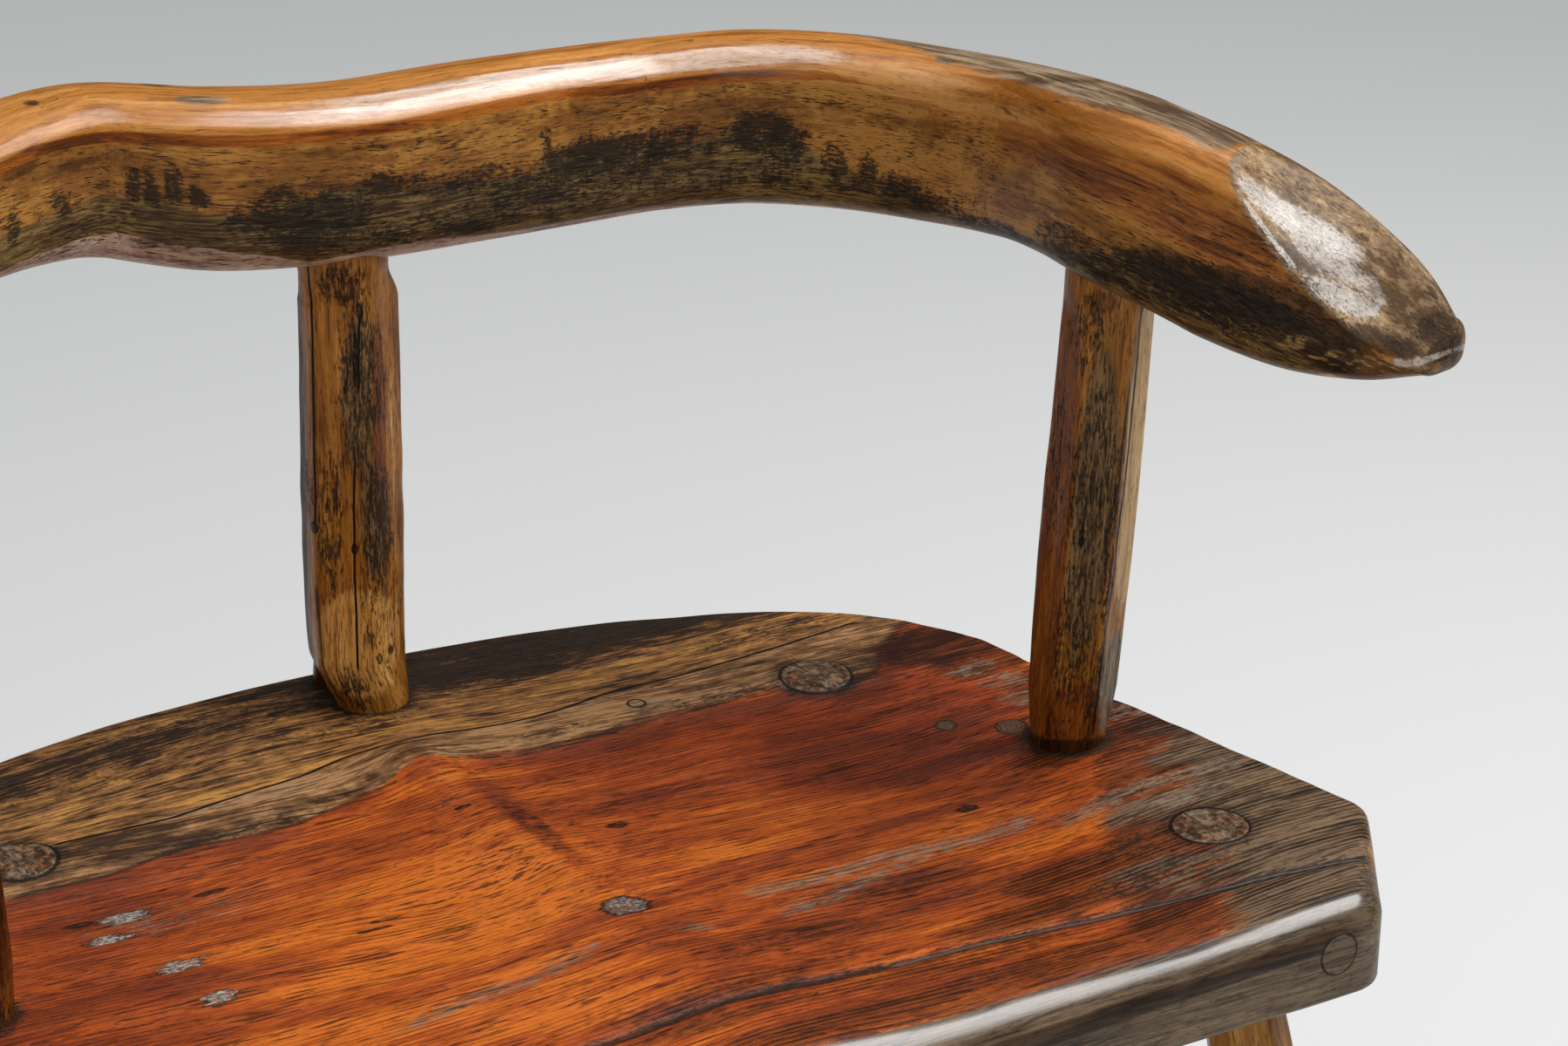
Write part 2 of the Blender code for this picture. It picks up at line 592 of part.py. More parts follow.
def centre_on_floor(parent):
    """Move the chair so that the middle of its footprint stands at the world's origin."""
    bpy.context.view_layer.update()
    depsgraph = bpy.context.evaluated_depsgraph_get()
    points = []
    for thing in parent.children:
        if thing.hide_render:
            continue
        mesh = thing.evaluated_get(depsgraph).to_mesh()
        points += [thing.matrix_world @ vertex.co for vertex in mesh.vertices]
        thing.evaluated_get(depsgraph).to_mesh_clear()
    low = Vector([min(point[axis] for point in points) for axis in range(3)])
    high = Vector([max(point[axis] for point in points) for axis in range(3)])
    parent.location = (-(low.x + high.x) / 2.0, -(low.y + high.y) / 2.0, -low.z)
    bpy.context.view_layer.update()


def main():
    """Build the chair."""
    clear_scene()
    chair = bpy.data.objects.new("chair", None)
    bpy.context.scene.collection.objects.link(chair)
    seat = add_object("seat", seat_mesh(), chair, SEAT_FINISH)
    arm = add_object("arm_bow", arm_mesh(), chair, ARM_FINISH)
    for side_name, side in (("left", -1.0), ("right", 1.0)):
        front = (side * FRONT_LEG_X, FRONT_LEG_Y, side * FRONT_SPLAY_OUT, -FRONT_SPLAY_FORWARD)
        back = (side * BACK_LEG_X, BACK_LEG_Y, side * BACK_SPLAY_OUT, BACK_SPLAY_BACK)
        add_leg("front_" + side_name, front, seat, chair)
        add_leg("back_" + side_name, back, seat, chair)
    add_sticks(seat, arm, chair)
    add_peg(seat, chair)
    centre_on_floor(chair)
    print("chair moved by", tuple(round(value, 4) for value in chair.location))


main()
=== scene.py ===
"""The looks of a low-back wooden stick armchair: its old waxed wood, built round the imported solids.

Every wooden piece is a fine surface that stands for its plain solid. Sizes are in metres. Chair coordinates
are those of the chair's own plan: X across, Y from the line of the back leg tenons and Z from the floor.
"""

import logging
import math
from dataclasses import dataclass, field, replace
from enum import Enum
from typing import Callable, Sequence, Union

import bpy
import numpy as np
from mathutils import Matrix, Vector
from numpy.typing import NDArray


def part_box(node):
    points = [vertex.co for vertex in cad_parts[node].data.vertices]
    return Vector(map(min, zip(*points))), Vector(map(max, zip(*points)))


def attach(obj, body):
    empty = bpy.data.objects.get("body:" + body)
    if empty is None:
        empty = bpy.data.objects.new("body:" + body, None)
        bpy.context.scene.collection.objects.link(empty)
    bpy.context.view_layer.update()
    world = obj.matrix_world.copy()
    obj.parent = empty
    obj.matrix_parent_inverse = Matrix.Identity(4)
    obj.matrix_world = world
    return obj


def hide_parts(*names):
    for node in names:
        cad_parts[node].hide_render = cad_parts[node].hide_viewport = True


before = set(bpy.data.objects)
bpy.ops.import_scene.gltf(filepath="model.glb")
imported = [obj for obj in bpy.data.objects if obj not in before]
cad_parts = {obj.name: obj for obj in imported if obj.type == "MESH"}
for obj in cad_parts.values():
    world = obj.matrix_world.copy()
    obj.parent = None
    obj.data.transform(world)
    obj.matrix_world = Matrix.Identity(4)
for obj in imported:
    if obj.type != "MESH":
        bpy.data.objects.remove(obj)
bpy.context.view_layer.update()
BODY = "root"
LOG = logging.getLogger("armchair")
Array = NDArray[np.float64]


# Numbers worked out over whole arrays


def soft_step(value: Array, low: float, high: float) -> Array:
    """A soft S from 0 at low to 1 at high: three shares squared less two shares cubed.

    Args:
        value: Where to read it.
        low: The value at which it starts.
        high: The value at which it ends. It may lie below low, and the S then falls.

    Returns:
        The S at each value.
    """
    share = np.clip((value - low) / (high - low), 0.0, 1.0)
    return share * share * (3.0 - 2.0 * share)


def ripple(points: Array, size: Union[float, Sequence[float]], seed: int, waves: int = 14) -> Array:
    """A smooth random field: a sum of cosines along random directions, with wavelengths near a size.

    Args:
        points: Points with their three coordinates last.
        size: The wavelength in metres, or one for each axis.
        seed: Picks the field.
        waves: How many cosines are summed.

    Returns:
        Values that mostly lie between -1 and 1.
    """
    draws = np.random.default_rng(seed)
    ways = draws.normal(size=(3, waves))
    ways *= draws.uniform(0.7, 1.5, waves) / np.linalg.norm(ways, axis=0)
    scaled = np.asarray(points) / np.asarray(size)
    angle = 2.0 * math.pi * scaled @ ways + draws.uniform(0.0, 2.0 * math.pi, waves)
    return np.cos(angle).sum(axis=-1) * math.sqrt(1.0 / waves)


def smooth_curve(knots: Array, position: Array, closed: bool = False) -> Array:
    """A curve through every knot, cubic between them, with the neighbours' chord as its slope (Catmull-Rom).

    Args:
        knots: The knots, one in each row.
        position: Where to read it, counted in knots from the first.
        closed: Whether the last knot leads back to the first.

    Returns:
        One row of values for each position.
    """
    count = len(knots)
    index = np.minimum(position.astype(int), count - 1 if closed else count - 2)
    share = (position - index)[:, None]
    if closed:
        around = [knots[(index + step) % count] for step in (-1, 0, 1, 2)]
    else:
        longer = np.vstack([2.0 * knots[0] - knots[1], knots, 2.0 * knots[-1] - knots[-2]])
        around = [longer[index + step] for step in (0, 1, 2, 3)]
    before, one, two, after = around
    cube, square = share ** 3, share ** 2
    value = one * (2.0 * cube - 3.0 * square + 1.0) + (two - before) / 2.0 * (cube - 2.0 * square + share)
    return value + two * (3.0 * square - 2.0 * cube) + (after - one) / 2.0 * (cube - square)


def line_at(where: Array, table: Sequence[Sequence[float]]) -> Array:
    """The height of a line of straight runs through a table's points, the first coordinate rising."""
    return np.interp(where, *np.array(table).T)


def spots(across: Array, along: Array, table: Sequence[Sequence[float]]) -> Array:
    """The strongest of several soft ellipses at each point: full to half way out, then fading like an S.

    Args:
        across: First coordinate of each point.
        along: Second coordinate of each point.
        table: For each ellipse its middle, its two half widths and its strength.

    Returns:
        A mask from 0 to the greatest strength.
    """
    mask = np.zeros_like(across)
    for middle_one, middle_two, half_one, half_two, strength in table:
        reach = np.hypot((across - middle_one) / half_one, (along - middle_two) / half_two)
        mask = np.maximum(mask, strength * soft_step(reach, 1.25, 0.45))
    return mask


def beside(across: Array, along: Array, route: Sequence[Sequence[float]], width: float) -> Array:
    """A soft band along a route, fading like an S to nothing at its width and past its two ends.

    Args:
        across: The coordinate along which the route runs.
        along: The coordinate that the route gives.
        route: The route's points, their first coordinate rising.
        width: Half the band's width.

    Returns:
        A mask from 0 to 1.
    """
    line = np.asarray(route)
    middle = line_at(across, route)
    past = np.maximum(line[0, 0] - across, across - line[-1, 0])
    return soft_step(np.abs(along - middle), width, 0.0) * soft_step(past, width, -width)


# Meshes


def tube(name: str, points: Array, masks: dict[str, Array]) -> bpy.types.Object:
    """A closed surface of quads through rings of points, with a pole in the middle of each end ring.

    Args:
        name: The piece's name.
        points: Rings by points by three coordinates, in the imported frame.
        masks: Values for each point, by the name of their attribute, with three numbers each or one.

    Returns:
        The new object at the origin.
    """
    rings, sides = points.shape[:2]
    corner = np.arange(rings * sides).reshape(rings, sides)
    after = np.roll(corner, -1, axis=1)
    quads = np.stack([corner[:-1], after[:-1], after[1:], corner[1:]], axis=-1).reshape(-1, 4)
    poles = rings * sides + np.array([0, 1])
    low = np.stack([after[0], corner[0], np.full(sides, poles[0])], axis=-1)
    high = np.stack([corner[-1], after[-1], np.full(sides, poles[1])], axis=-1)
    triangles = np.vstack([low, high])

    def with_poles(values: Array) -> Array:
        """The values of all points, and of the two poles as their rings' means."""
        ends = [values[row].reshape(sides, -1).mean(0) for row in (0, -1)]
        return np.vstack([values.reshape(rings * sides, -1), *ends])

    places = with_poles(points)
    first, second, third = (places[quads[:, k]] for k in (0, 1, 2))
    if np.einsum("ij,ij->i", first, np.cross(second, third)).sum() < 0.0:
        quads, triangles = quads[:, ::-1], triangles[:, ::-1]
    mesh = bpy.data.meshes.new(name)
    mesh.vertices.add(len(places))
    mesh.vertices.foreach_set("co", places.astype(np.float32).ravel())
    mesh.loops.add(quads.size + triangles.size)
    mesh.loops.foreach_set(
        "vertex_index", np.concatenate([quads.ravel(), triangles.ravel()]).astype(np.int32),
    )
    mesh.polygons.add(len(quads) + len(triangles))
    starts = np.concatenate([np.arange(len(quads)) * 4, quads.size + np.arange(len(triangles)) * 3])
    mesh.polygons.foreach_set("loop_start", starts.astype(np.int32))
    mesh.update(calc_edges=True)
    mesh.validate()
    mesh.shade_smooth()
    for mask, values in masks.items():
        vector = values.ndim == 3
        attribute = mesh.attributes.new(mask, "FLOAT_VECTOR" if vector else "FLOAT", "POINT")
        attribute.data.foreach_set(
            "vector" if vector else "value", with_poles(values).astype(np.float32).ravel(),
        )
    piece = bpy.data.objects.new(name, mesh)
    bpy.context.scene.collection.objects.link(piece)
    return piece


# Node trees


def math_method(operation: str, turned: bool = False) -> Callable[["Wire", "Value"], "Wire"]:
    """A method that adds a Math node on the wire and another value, in this order or turned round."""

    def method(self: "Wire", other: "Value") -> "Wire":
        """The node's result."""
        return self.graph.math(operation, *((other, self) if turned else (self, other)))

    return method


class Wire:
    """A value that runs through a node tree. Arithmetic on it adds Math nodes."""

    def __init__(self, graph: "Graph", socket: bpy.types.NodeSocket) -> None:
        """Keep the socket and the tree that it belongs to."""
        self.graph = graph
        self.socket = socket

    __add__ = __radd__ = math_method("ADD")
    __mul__ = __rmul__ = math_method("MULTIPLY")
    __sub__ = math_method("SUBTRACT")
    __rsub__ = math_method("SUBTRACT", True)
    __truediv__ = math_method("DIVIDE")
    __rtruediv__ = math_method("DIVIDE", True)
    most = math_method("MAXIMUM")

    def size(self) -> "Wire":
        """The value without its sign."""
        return self.graph.math("ABSOLUTE", self)

    def ramp(self, low: float, high: float) -> "Wire":
        """A soft S from 0 at low to 1 at high, or the other way down where high is the lower."""
        way = (low, high, 0.0, 1.0) if low < high else (high, low, 1.0, 0.0)
        names = ("Value", "From Min", "From Max", "To Min", "To Max")
        return self.graph.add(
            "ShaderNodeMapRange", dict(zip(names, (self, *way))), interpolation_type="SMOOTHSTEP",
        )


Value = Union[Wire, float, tuple]
Colour = tuple[float, float, float, float]


class Graph:
    """A node tree that is wired by short calls."""

    def __init__(self, tree: bpy.types.NodeTree) -> None:
        """Keep the tree."""
        self.tree = tree

    def node(self, kind: str, inputs: dict, **settings: object) -> bpy.types.Node:
        """Add a node, set its options and its inputs.

        Args:
            kind: The node's type.
            inputs: Wires or plain values, by the name or the number of their socket.
            settings: The node's own options.

        Returns:
            The node.
        """
        made = self.tree.nodes.new(kind)
        for option, choice in settings.items():
            setattr(made, option, choice)
        for key, value in inputs.items():
            if isinstance(value, Wire):
                self.tree.links.new(value.socket, made.inputs[key])
            else:
                made.inputs[key].default_value = value
        return made

    def add(self, kind: str, inputs: dict, output: Union[str, int] = 0, **settings: object) -> Wire:
        """Add a node as above, and give the wire that leaves one of its outputs."""
        return Wire(self, self.node(kind, inputs, **settings).outputs[output])

    def math(self, operation: str, *values: Value) -> Wire:
        """A Math node on one or two values."""
        return self.add("ShaderNodeMath", dict(enumerate(values)), operation=operation)

    def stretch(self, vector: Wire, size: Sequence[float]) -> Wire:
        """The vector divided by a size along each axis."""
        return self.add("ShaderNodeVectorMath", {0: vector, 1: tuple(size)}, operation="DIVIDE")

    def noise(self, vector: Wire, size: Sequence[float], detail: float = 2.0, rough: float = 0.5) -> Wire:
        """Soft noise from 0 to 1 whose specks have about this size along each axis, in metres."""
        inputs = {"Vector": self.stretch(vector, size), "Scale": 1.0, "Detail": detail, "Roughness": rough}
        return self.add("ShaderNodeTexNoise", inputs)

    def mix(self, share: Value, one: Value, two: Value, blend: str = "MIX") -> Wire:
        """A colour between two others."""
        return self.add("ShaderNodeMix", {0: share, 6: one, 7: two}, 2, data_type="RGBA", blend_type=blend)

    def tones(self, share: Wire, dark: Value, mid: Value, light: Value) -> Wire:
        """One of three colours, picked by a share from 0 to 1, with soft steps between them."""
        lower = self.mix(share.ramp(0.3, 0.5), dark, mid)
        return self.mix(share.ramp(0.5, 0.7), lower, light)

    def attribute(self, name: str, output: str = "Fac") -> Wire:
        """One of the mesh's own values."""
        return self.add("ShaderNodeAttribute", {}, output, attribute_name=name)

    def parts(self, vector: Wire) -> tuple[Wire, Wire, Wire]:
        """The vector's three coordinates."""
        made = self.node("ShaderNodeSeparateXYZ", {0: vector})
        return tuple(Wire(self, made.outputs[axis]) for axis in range(3))

    def route(self, across: Wire, points: Sequence[Sequence[float]]) -> Wire:
        """A smooth line through points: the second coordinate that it has at the first one.

        Args:
            across: The first coordinate.
            points: The line's points, their first coordinate rising.

        Returns:
            The second coordinate.
        """
        line = np.asarray(points)
        low, high = line.min(0), line.max(0)
        span = np.maximum(high - low, 1e-6)
        share = (line - low) / span
        made = self.node("ShaderNodeFloatCurve", {"Value": (across - float(low[0])) / float(span[0])})
        curve = made.mapping.curves[0]
        for index, (first, second) in enumerate(share):
            if index < 2:
                curve.points[index].location = (0.0, 0.0)
            else:
                curve.points.new(float(first), float(second))
        for index, (first, second) in enumerate(share):
            curve.points[index].location = (float(first), float(second))
        made.mapping.update()
        return Wire(self, made.outputs[0]) * float(span[1]) + float(low[1])


def paint(code: str) -> Colour:
    """A colour written as six hexadecimal digits, turned into linear light.

    Args:
        code: Red, green and blue, two digits each.

    Returns:
        The linear colour with full alpha.
    """
    shares = [int(code[place:place + 2], 16) / 255.0 for place in (0, 2, 4)]
    return tuple(s / 12.92 if s <= 0.04045 else ((s + 0.055) / 1.055) ** 2.4 for s in shares) + (1.0,)


class Socket(Enum):
    """The kinds of value that a group takes in or gives out."""

    NUMBER = "NodeSocketFloat"
    COLOUR = "NodeSocketColor"
    VECTOR = "NodeSocketVector"


def numbers(*names: str) -> dict[str, Socket]:
    """Number sockets with these names."""
    return dict.fromkeys(names, Socket.NUMBER)


class EffectGroup:
    """An effect that several woods share: a node group that is built once and placed with its own values."""

    title: str = ""
    takes: dict[str, Socket] = {}
    gives: dict[str, Socket] = {}

    def __init__(self) -> None:
        """Build the group's tree."""
        self.tree = bpy.data.node_groups.new(self.title, "ShaderNodeTree")
        for name, kind in self.takes.items():
            self.tree.interface.new_socket(name=name, in_out="INPUT", socket_type=kind.value)
        for name, kind in self.gives.items():
            self.tree.interface.new_socket(name=name, in_out="OUTPUT", socket_type=kind.value)
        graph = Graph(self.tree)
        entry = graph.node("NodeGroupInput", {})
        given = self.wire_up(graph, {name: Wire(graph, entry.outputs[name]) for name in self.takes})
        graph.node("NodeGroupOutput", given)

    def wire_up(self, graph: Graph, taken: dict[str, Wire]) -> dict[str, Wire]:
        """Add the effect's nodes. Each effect has its own."""
        raise NotImplementedError

    def place(self, graph: Graph, **values: Value) -> dict[str, Wire]:
        """Put the group in a tree.

        Args:
            graph: The tree that uses it.
            values: Its inputs, with _ for a space in their names.

        Returns:
            Its outputs by name.
        """
        inputs = {name.replace("_", " "): value for name, value in values.items()}
        made = graph.node("ShaderNodeGroup", inputs, node_tree=self.tree)
        return {name: Wire(graph, made.outputs[name]) for name in self.gives}


class WoodGrain(EffectGroup):
    """Growth lines, bands, streaks, fibres, checks and hair cracks, drawn out along the grain."""

    title = "wood_grain"
    takes = {"Vector": Socket.VECTOR, **numbers("Long", "Pith Side", "Pith Deep", "Ring", "Wander", "Check")}
    gives = numbers(
        "Rings", "Broad", "Streak", "Fibre", "Pores", "Hair", "Cloud", "Mottle", "Fleck", "Curl"
    )

    def wire_up(self, graph: Graph, taken: dict[str, Wire]) -> dict[str, Wire]:
        """Rings are saw teeth of the distance from a wandering pith; the rest is noise along the grain."""
        grain = taken["Vector"]
        length, side, deep = graph.parts(grain)
        short = length / taken["Long"]
        base = graph.add("ShaderNodeCombineXYZ", {0: short, 1: side, 2: deep})
        sway = (graph.noise(base, (0.13, 0.045, 0.045), 2.0) - 0.5) * taken["Wander"]
        sway = sway + (graph.noise(base, (0.04, 0.012, 0.012), 2.0) - 0.5) * taken["Wander"] * 0.28
        across, down = side + sway, deep + sway * 0.6
        flow = graph.add("ShaderNodeCombineXYZ", {0: short, 1: across, 2: down})
        out, under = across + taken["Pith Side"], down + taken["Pith Deep"]
        tooth = graph.math("FRACT", graph.math("SQRT", out * out + under * under) / taken["Ring"])
        patch = graph.noise(base, (0.05, 0.016, 0.016), 3.0, 0.6)
        rings = tooth.ramp(0.3, 0.86) * tooth.ramp(1.0, 0.9) * (patch.ramp(0.62, 0.4) * 0.85 + 0.15)
        broad = graph.noise(flow, (0.13, 0.009, 0.009), 4.0, 0.55)
        streak = graph.noise(flow, (0.055, 0.0026, 0.0026), 4.0, 0.6)
        fibre = graph.noise(flow, (0.014, 0.00085, 0.00085), 3.0, 0.6)
        finer = graph.add("ShaderNodeVectorMath", {0: flow, 3: 1.0 / taken["Check"]}, operation="SCALE")
        dash = graph.noise(finer, (0.01, 0.00085, 0.00085), 2.0, 0.55)
        pores = (dash + (patch - 0.5) * 0.34).ramp(0.585, 0.645)
        seam = graph.noise(flow, (0.1, 0.008, 0.008), 3.0, 0.55)
        broken = graph.noise(base, (0.03, 0.006, 0.006), 2.0).ramp(0.48, 0.6)
        hair = (seam - 0.5).size().ramp(0.009, 0.0015) * broken
        cloud = graph.noise(base, (0.05, 0.022, 0.022), 4.0, 0.6)
        mottle = graph.noise(grain, (0.0052, 0.0038, 0.0038), 5.0, 0.66)
        fleck = graph.noise(grain, (0.0048, 0.0009, 0.0009), 3.0, 0.7)
        bent = graph.add("ShaderNodeCombineXYZ", {0: length, 1: across + sway * 1.5, 2: down})
        curl = graph.noise(bent, (0.024, 0.0044, 0.0044), 5.0, 0.66)
        return {
            "Rings": rings, "Broad": broad, "Streak": streak, "Fibre": fibre, "Pores": pores, "Hair": hair,
            "Cloud": cloud, "Mottle": mottle, "Fleck": fleck, "Curl": curl,
        }


class ToneLayer(EffectGroup):
    """One layer of three tones over another, its edge torn by noise."""

    title = "tone_layer"
    takes = {
        **dict.fromkeys(("Under", "Dark", "Mid", "Light"), Socket.COLOUR),
        **numbers("Mask", "Blend", "Tear", "Rag", "Cover"),
    }
    gives = {"Colour": Socket.COLOUR, "Edge": Socket.NUMBER}

    def wire_up(self, graph: Graph, taken: dict[str, Wire]) -> dict[str, Wire]:
        """The mask plus torn noise, cut softly at a half, lays the tones that the blend picks."""
        torn = taken["Mask"] + (taken["Tear"] - 0.5) * taken["Rag"]
        edge = torn.ramp(0.36, 0.64) * taken["Mask"].ramp(0.02, 0.16)
        tone = graph.tones(taken["Blend"], taken["Dark"], taken["Mid"], taken["Light"])
        return {"Colour": graph.mix(edge * taken["Cover"], taken["Under"], tone), "Edge": edge}


class Speckle(EffectGroup):
    """Smoke and dirt: specks that gather into blotches with upright and level smears."""

    title = "dirt_speckle"
    takes = {"Vector": Socket.VECTOR, **numbers("Mask", "Run")}
    gives = numbers("Dirt")

    def wire_up(self, graph: Graph, taken: dict[str, Wire]) -> dict[str, Wire]:
        """Where blots, smears and fine grit add up to more than the mask leaves bare."""
        grain = taken["Vector"]
        blots = graph.noise(grain, (0.01, 0.0075, 0.0075), 5.0, 0.66) - 0.5
        smears = graph.noise(grain, (0.0085, 0.00125, 0.00125), 3.0, 0.6) - 0.5
        upright = graph.noise(grain, (0.0016, 0.011, 0.011), 3.0, 0.55) - 0.5
        still = 1.0 - taken["Run"]
        field = blots * (still * 0.6 + 0.12) + upright * still * 0.35 + smears * (taken["Run"] * 0.75 + 0.25)
        grit = graph.noise(grain, (0.003, 0.0009, 0.0009), 4.0, 0.7) - 0.5
        height = field * 2.5 + grit * 2.6 + taken["Mask"] - 0.5
        return {"Dirt": height.ramp(-0.2, 0.32) * taken["Mask"].ramp(0.0, 0.24)}


class Knot(EffectGroup):
    """A knot or a plug: an oval with a torn rim and rings inside."""

    title = "knot"
    takes = numbers("Across", "Along", "X", "Y", "Length", "Width", "Tear", "Rag", "Edge")
    gives = numbers("Disc", "Rim", "Rings")

    def wire_up(self, graph: Graph, taken: dict[str, Wire]) -> dict[str, Wire]:
        """The distance from the middle in half lengths and half widths, torn by noise, cut at one."""
        one = (taken["Across"] - taken["X"]) / taken["Length"]
        two = (taken["Along"] - taken["Y"]) / taken["Width"]
        reach = graph.math("SQRT", one * one + two * two) + (taken["Tear"] - 0.5) * taken["Rag"]
        disc = reach.ramp(1.06, 0.9)
        rim = ((reach - 1.0).size() / taken["Edge"]).ramp(1.0, 0.2)
        wave = graph.math("SINE", reach * 19.0)
        return {"Disc": disc, "Rim": rim, "Rings": wave.ramp(-0.1, 0.9) * disc}


GRAIN_GROUP = WoodGrain()
LAYER_GROUP = ToneLayer()
SPECKLE_GROUP = Speckle()
KNOT_GROUP = Knot()


# Finishes


@dataclass(frozen=True)
class Tone:
    """Three colours of one wood that its grain picks from."""

    light: str
    mid: str
    dark: str

    def paints(self) -> tuple[Colour, Colour, Colour]:
        """The dark, the middle and the light one in linear light."""
        return paint(self.dark), paint(self.mid), paint(self.light)


class Pattern(Enum):
    """What picks a layer's tones: the weights of the grain's parts, in the order of PARTS below."""

    GRAIN = (0.34, 0.3, 0.14, 0.08, 0.0, 0.0, 0.14)
    LINES = (0.14, 0.34, 0.25, 0.05, 0.0, -0.06, 0.16)
    BOLD = (0.18, 0.24, 0.12, 0.1, 0.0, -0.1, 0.26)
    FIGURED = (0.08, 0.16, 0.1, 0.2, 0.06, -0.03, 0.4)
    WORN = (0.14, 0.16, 0.14, 0.36, 0.0, -0.03, 0.2)
    FIBROUS = (0.08, 0.2, 0.4, 0.14, 0.06, 0.0, 0.12)
    END = (0.0, 0.08, 0.1, 0.0, 0.3, 0.0, 0.52)
    SMOOTH = (0.2, 0.12, 0.1, 0.34, 0.1, 0.0, 0.14)
    CRACKLE = (0.0, 0.1, 0.12, 0.38, 0.24, 0.0, 0.16)


PARTS = ("Broad", "Streak", "Fibre", "Cloud", "Mottle", "Rings", "Curl")


@dataclass(frozen=True)
class Coating:
    """A layer of tone that lies where one of the piece's masks says."""

    mask: str
    tone: Tone
    pattern: Pattern = Pattern.GRAIN
    rag: float = 0.9            # how torn its edge is
    flecked: bool = False       # torn into short flecks, not along the streaks
    cover: float = 0.95
    dull: float = 0.0           # how much polish it takes away
    contrast: float = 1.6       # how far its tones spread


@dataclass(frozen=True)
class WoodFinish:
    """An old waxed wood: its bare tone, the layers on it, its grain and its polish."""

    title: str
    bare: Tone
    bare_pattern: Pattern = Pattern.GRAIN
    coatings: tuple[Coating, ...] = ()
    dirt_light: str = "2F2820"
    dirt_dark: str = "15120F"
    dirt_run: float = 0.25      # how far the dirt is drawn out along the grain
    long: float = 1.0           # how long the grain's streaks are
    pith: tuple[float, float] = (0.0, 0.0)
    ring: float = 0.002         # between two growth lines
    wander: float = 0.01        # how far the grain strays sideways
    ring_tint: float = 0.22     # how much a growth line darkens the wood
    check: float = 1.0          # the size of its short checks
    check_tint: float = 0.55    # how dark they are where the checks mask is full
    grit_tint: float = 0.5      # how much short flecks darken it
    rough: float = 0.36
    coat: float = 0.35          # polish where it isn't rubbed to a shine
    contrast: float = 1.5

    def material(self, marks: Sequence["Mark"] = (), creases: Sequence["Crease"] = ()) -> bpy.types.Material:
        """Build the material.

        Args:
            marks: Knots, pins and pits that lie at known places.
            creases: Cracks and grooves along known lines.

        Returns:
            A material that reads the piece's grain and masks.
        """
        material = bpy.data.materials.new(self.title)
        material.use_nodes = True
        graph = Graph(material.node_tree)
        grain = graph.attribute("grain", "Vector")
        wood = GRAIN_GROUP.place(
            graph, Vector=grain, Long=self.long, Pith_Side=self.pith[0], Pith_Deep=self.pith[1],
            Ring=self.ring, Wander=self.wander, Check=self.check,
        )
        tear = wood["Streak"] * 0.4 + wood["Fibre"] * 0.3 + wood["Mottle"] * 0.3
        fleck = wood["Fleck"] * 0.65 + wood["Mottle"] * 0.35
        deep = graph.attribute("deep")
        whole = Coating("", self.bare, self.bare_pattern, contrast=self.contrast)
        colour, dull = self.tone_of(graph, wood, whole, deep), deep * 0.0
        for coating in self.coatings:
            share = self.share_of(wood, coating, deep)
            dark, mid, light = coating.tone.paints()
            placed = LAYER_GROUP.place(
                graph, Under=colour, Mask=graph.attribute(coating.mask), Dark=dark, Mid=mid, Light=light,
                Blend=share, Tear=fleck if coating.flecked else tear, Rag=coating.rag, Cover=coating.cover,
            )
            colour = placed["Colour"]
            dull = dull * (1.0 - placed["Edge"]) + placed["Edge"] * coating.dull
        dirt = SPECKLE_GROUP.place(
            graph, Vector=grain, Mask=graph.attribute("dirt"), Run=self.dirt_run,
        )["Dirt"]
        fine = wood["Fibre"] - 0.5
        colour = graph.mix(wood["Rings"] * self.ring_tint, colour, paint("3A1D0D"), "MULTIPLY")
        colour = graph.mix(fine.ramp(0.0, 0.2) * 0.26, colour, paint("54351C"), "MULTIPLY")
        colour = graph.mix(fleck.ramp(0.5, 0.3) * self.grit_tint, colour, paint("4A2E1A"), "MULTIPLY")
        checks = wood["Pores"] * (graph.attribute("checks") * 0.8 + 0.2)
        colour = graph.mix(checks * self.check_tint, colour, paint("1E100A"))
        soot = graph.mix(wood["Fibre"].ramp(0.35, 0.65), paint(self.dirt_dark), paint(self.dirt_light))
        colour = graph.mix(dirt * 0.9, colour, soot)
        colour = graph.mix(wood["Hair"] * 0.65, colour, paint("1A1009"))
        height = fine * 0.07 - checks * 0.16 - wood["Hair"] * 0.2 - wood["Rings"] * 0.04 - dirt * 0.03
        height = height + (wood["Mottle"] - 0.5) * dull * 0.35 + (fleck - 0.5) * 0.12
        colour, height = Marks(graph, grain, tear).draw(colour, height, marks, creases)
        flat = dull.most(dirt * 0.75)
        rough = flat * 0.24 + fine * 0.16 + (wood["Mottle"] - 0.5) * 0.1 + self.rough
        relief = graph.add("ShaderNodeBump", {"Strength": 1.0, "Distance": 0.001, "Height": height})
        shader = graph.tree.nodes["Principled BSDF"]
        for name, wire in (("Base Color", colour), ("Roughness", rough), ("Normal", relief)):
            graph.tree.links.new(wire.socket, shader.inputs[name])
        polish = (1.0 - flat) * (graph.attribute("shine") * (1.0 - self.coat) + self.coat)
        graph.tree.links.new(polish.socket, shader.inputs["Coat Weight"])
        shader.inputs["Coat Roughness"].default_value = 0.17
        shader.inputs["Coat IOR"].default_value = 1.6
        shader.inputs["Specular IOR Level"].default_value = 0.1
        return material

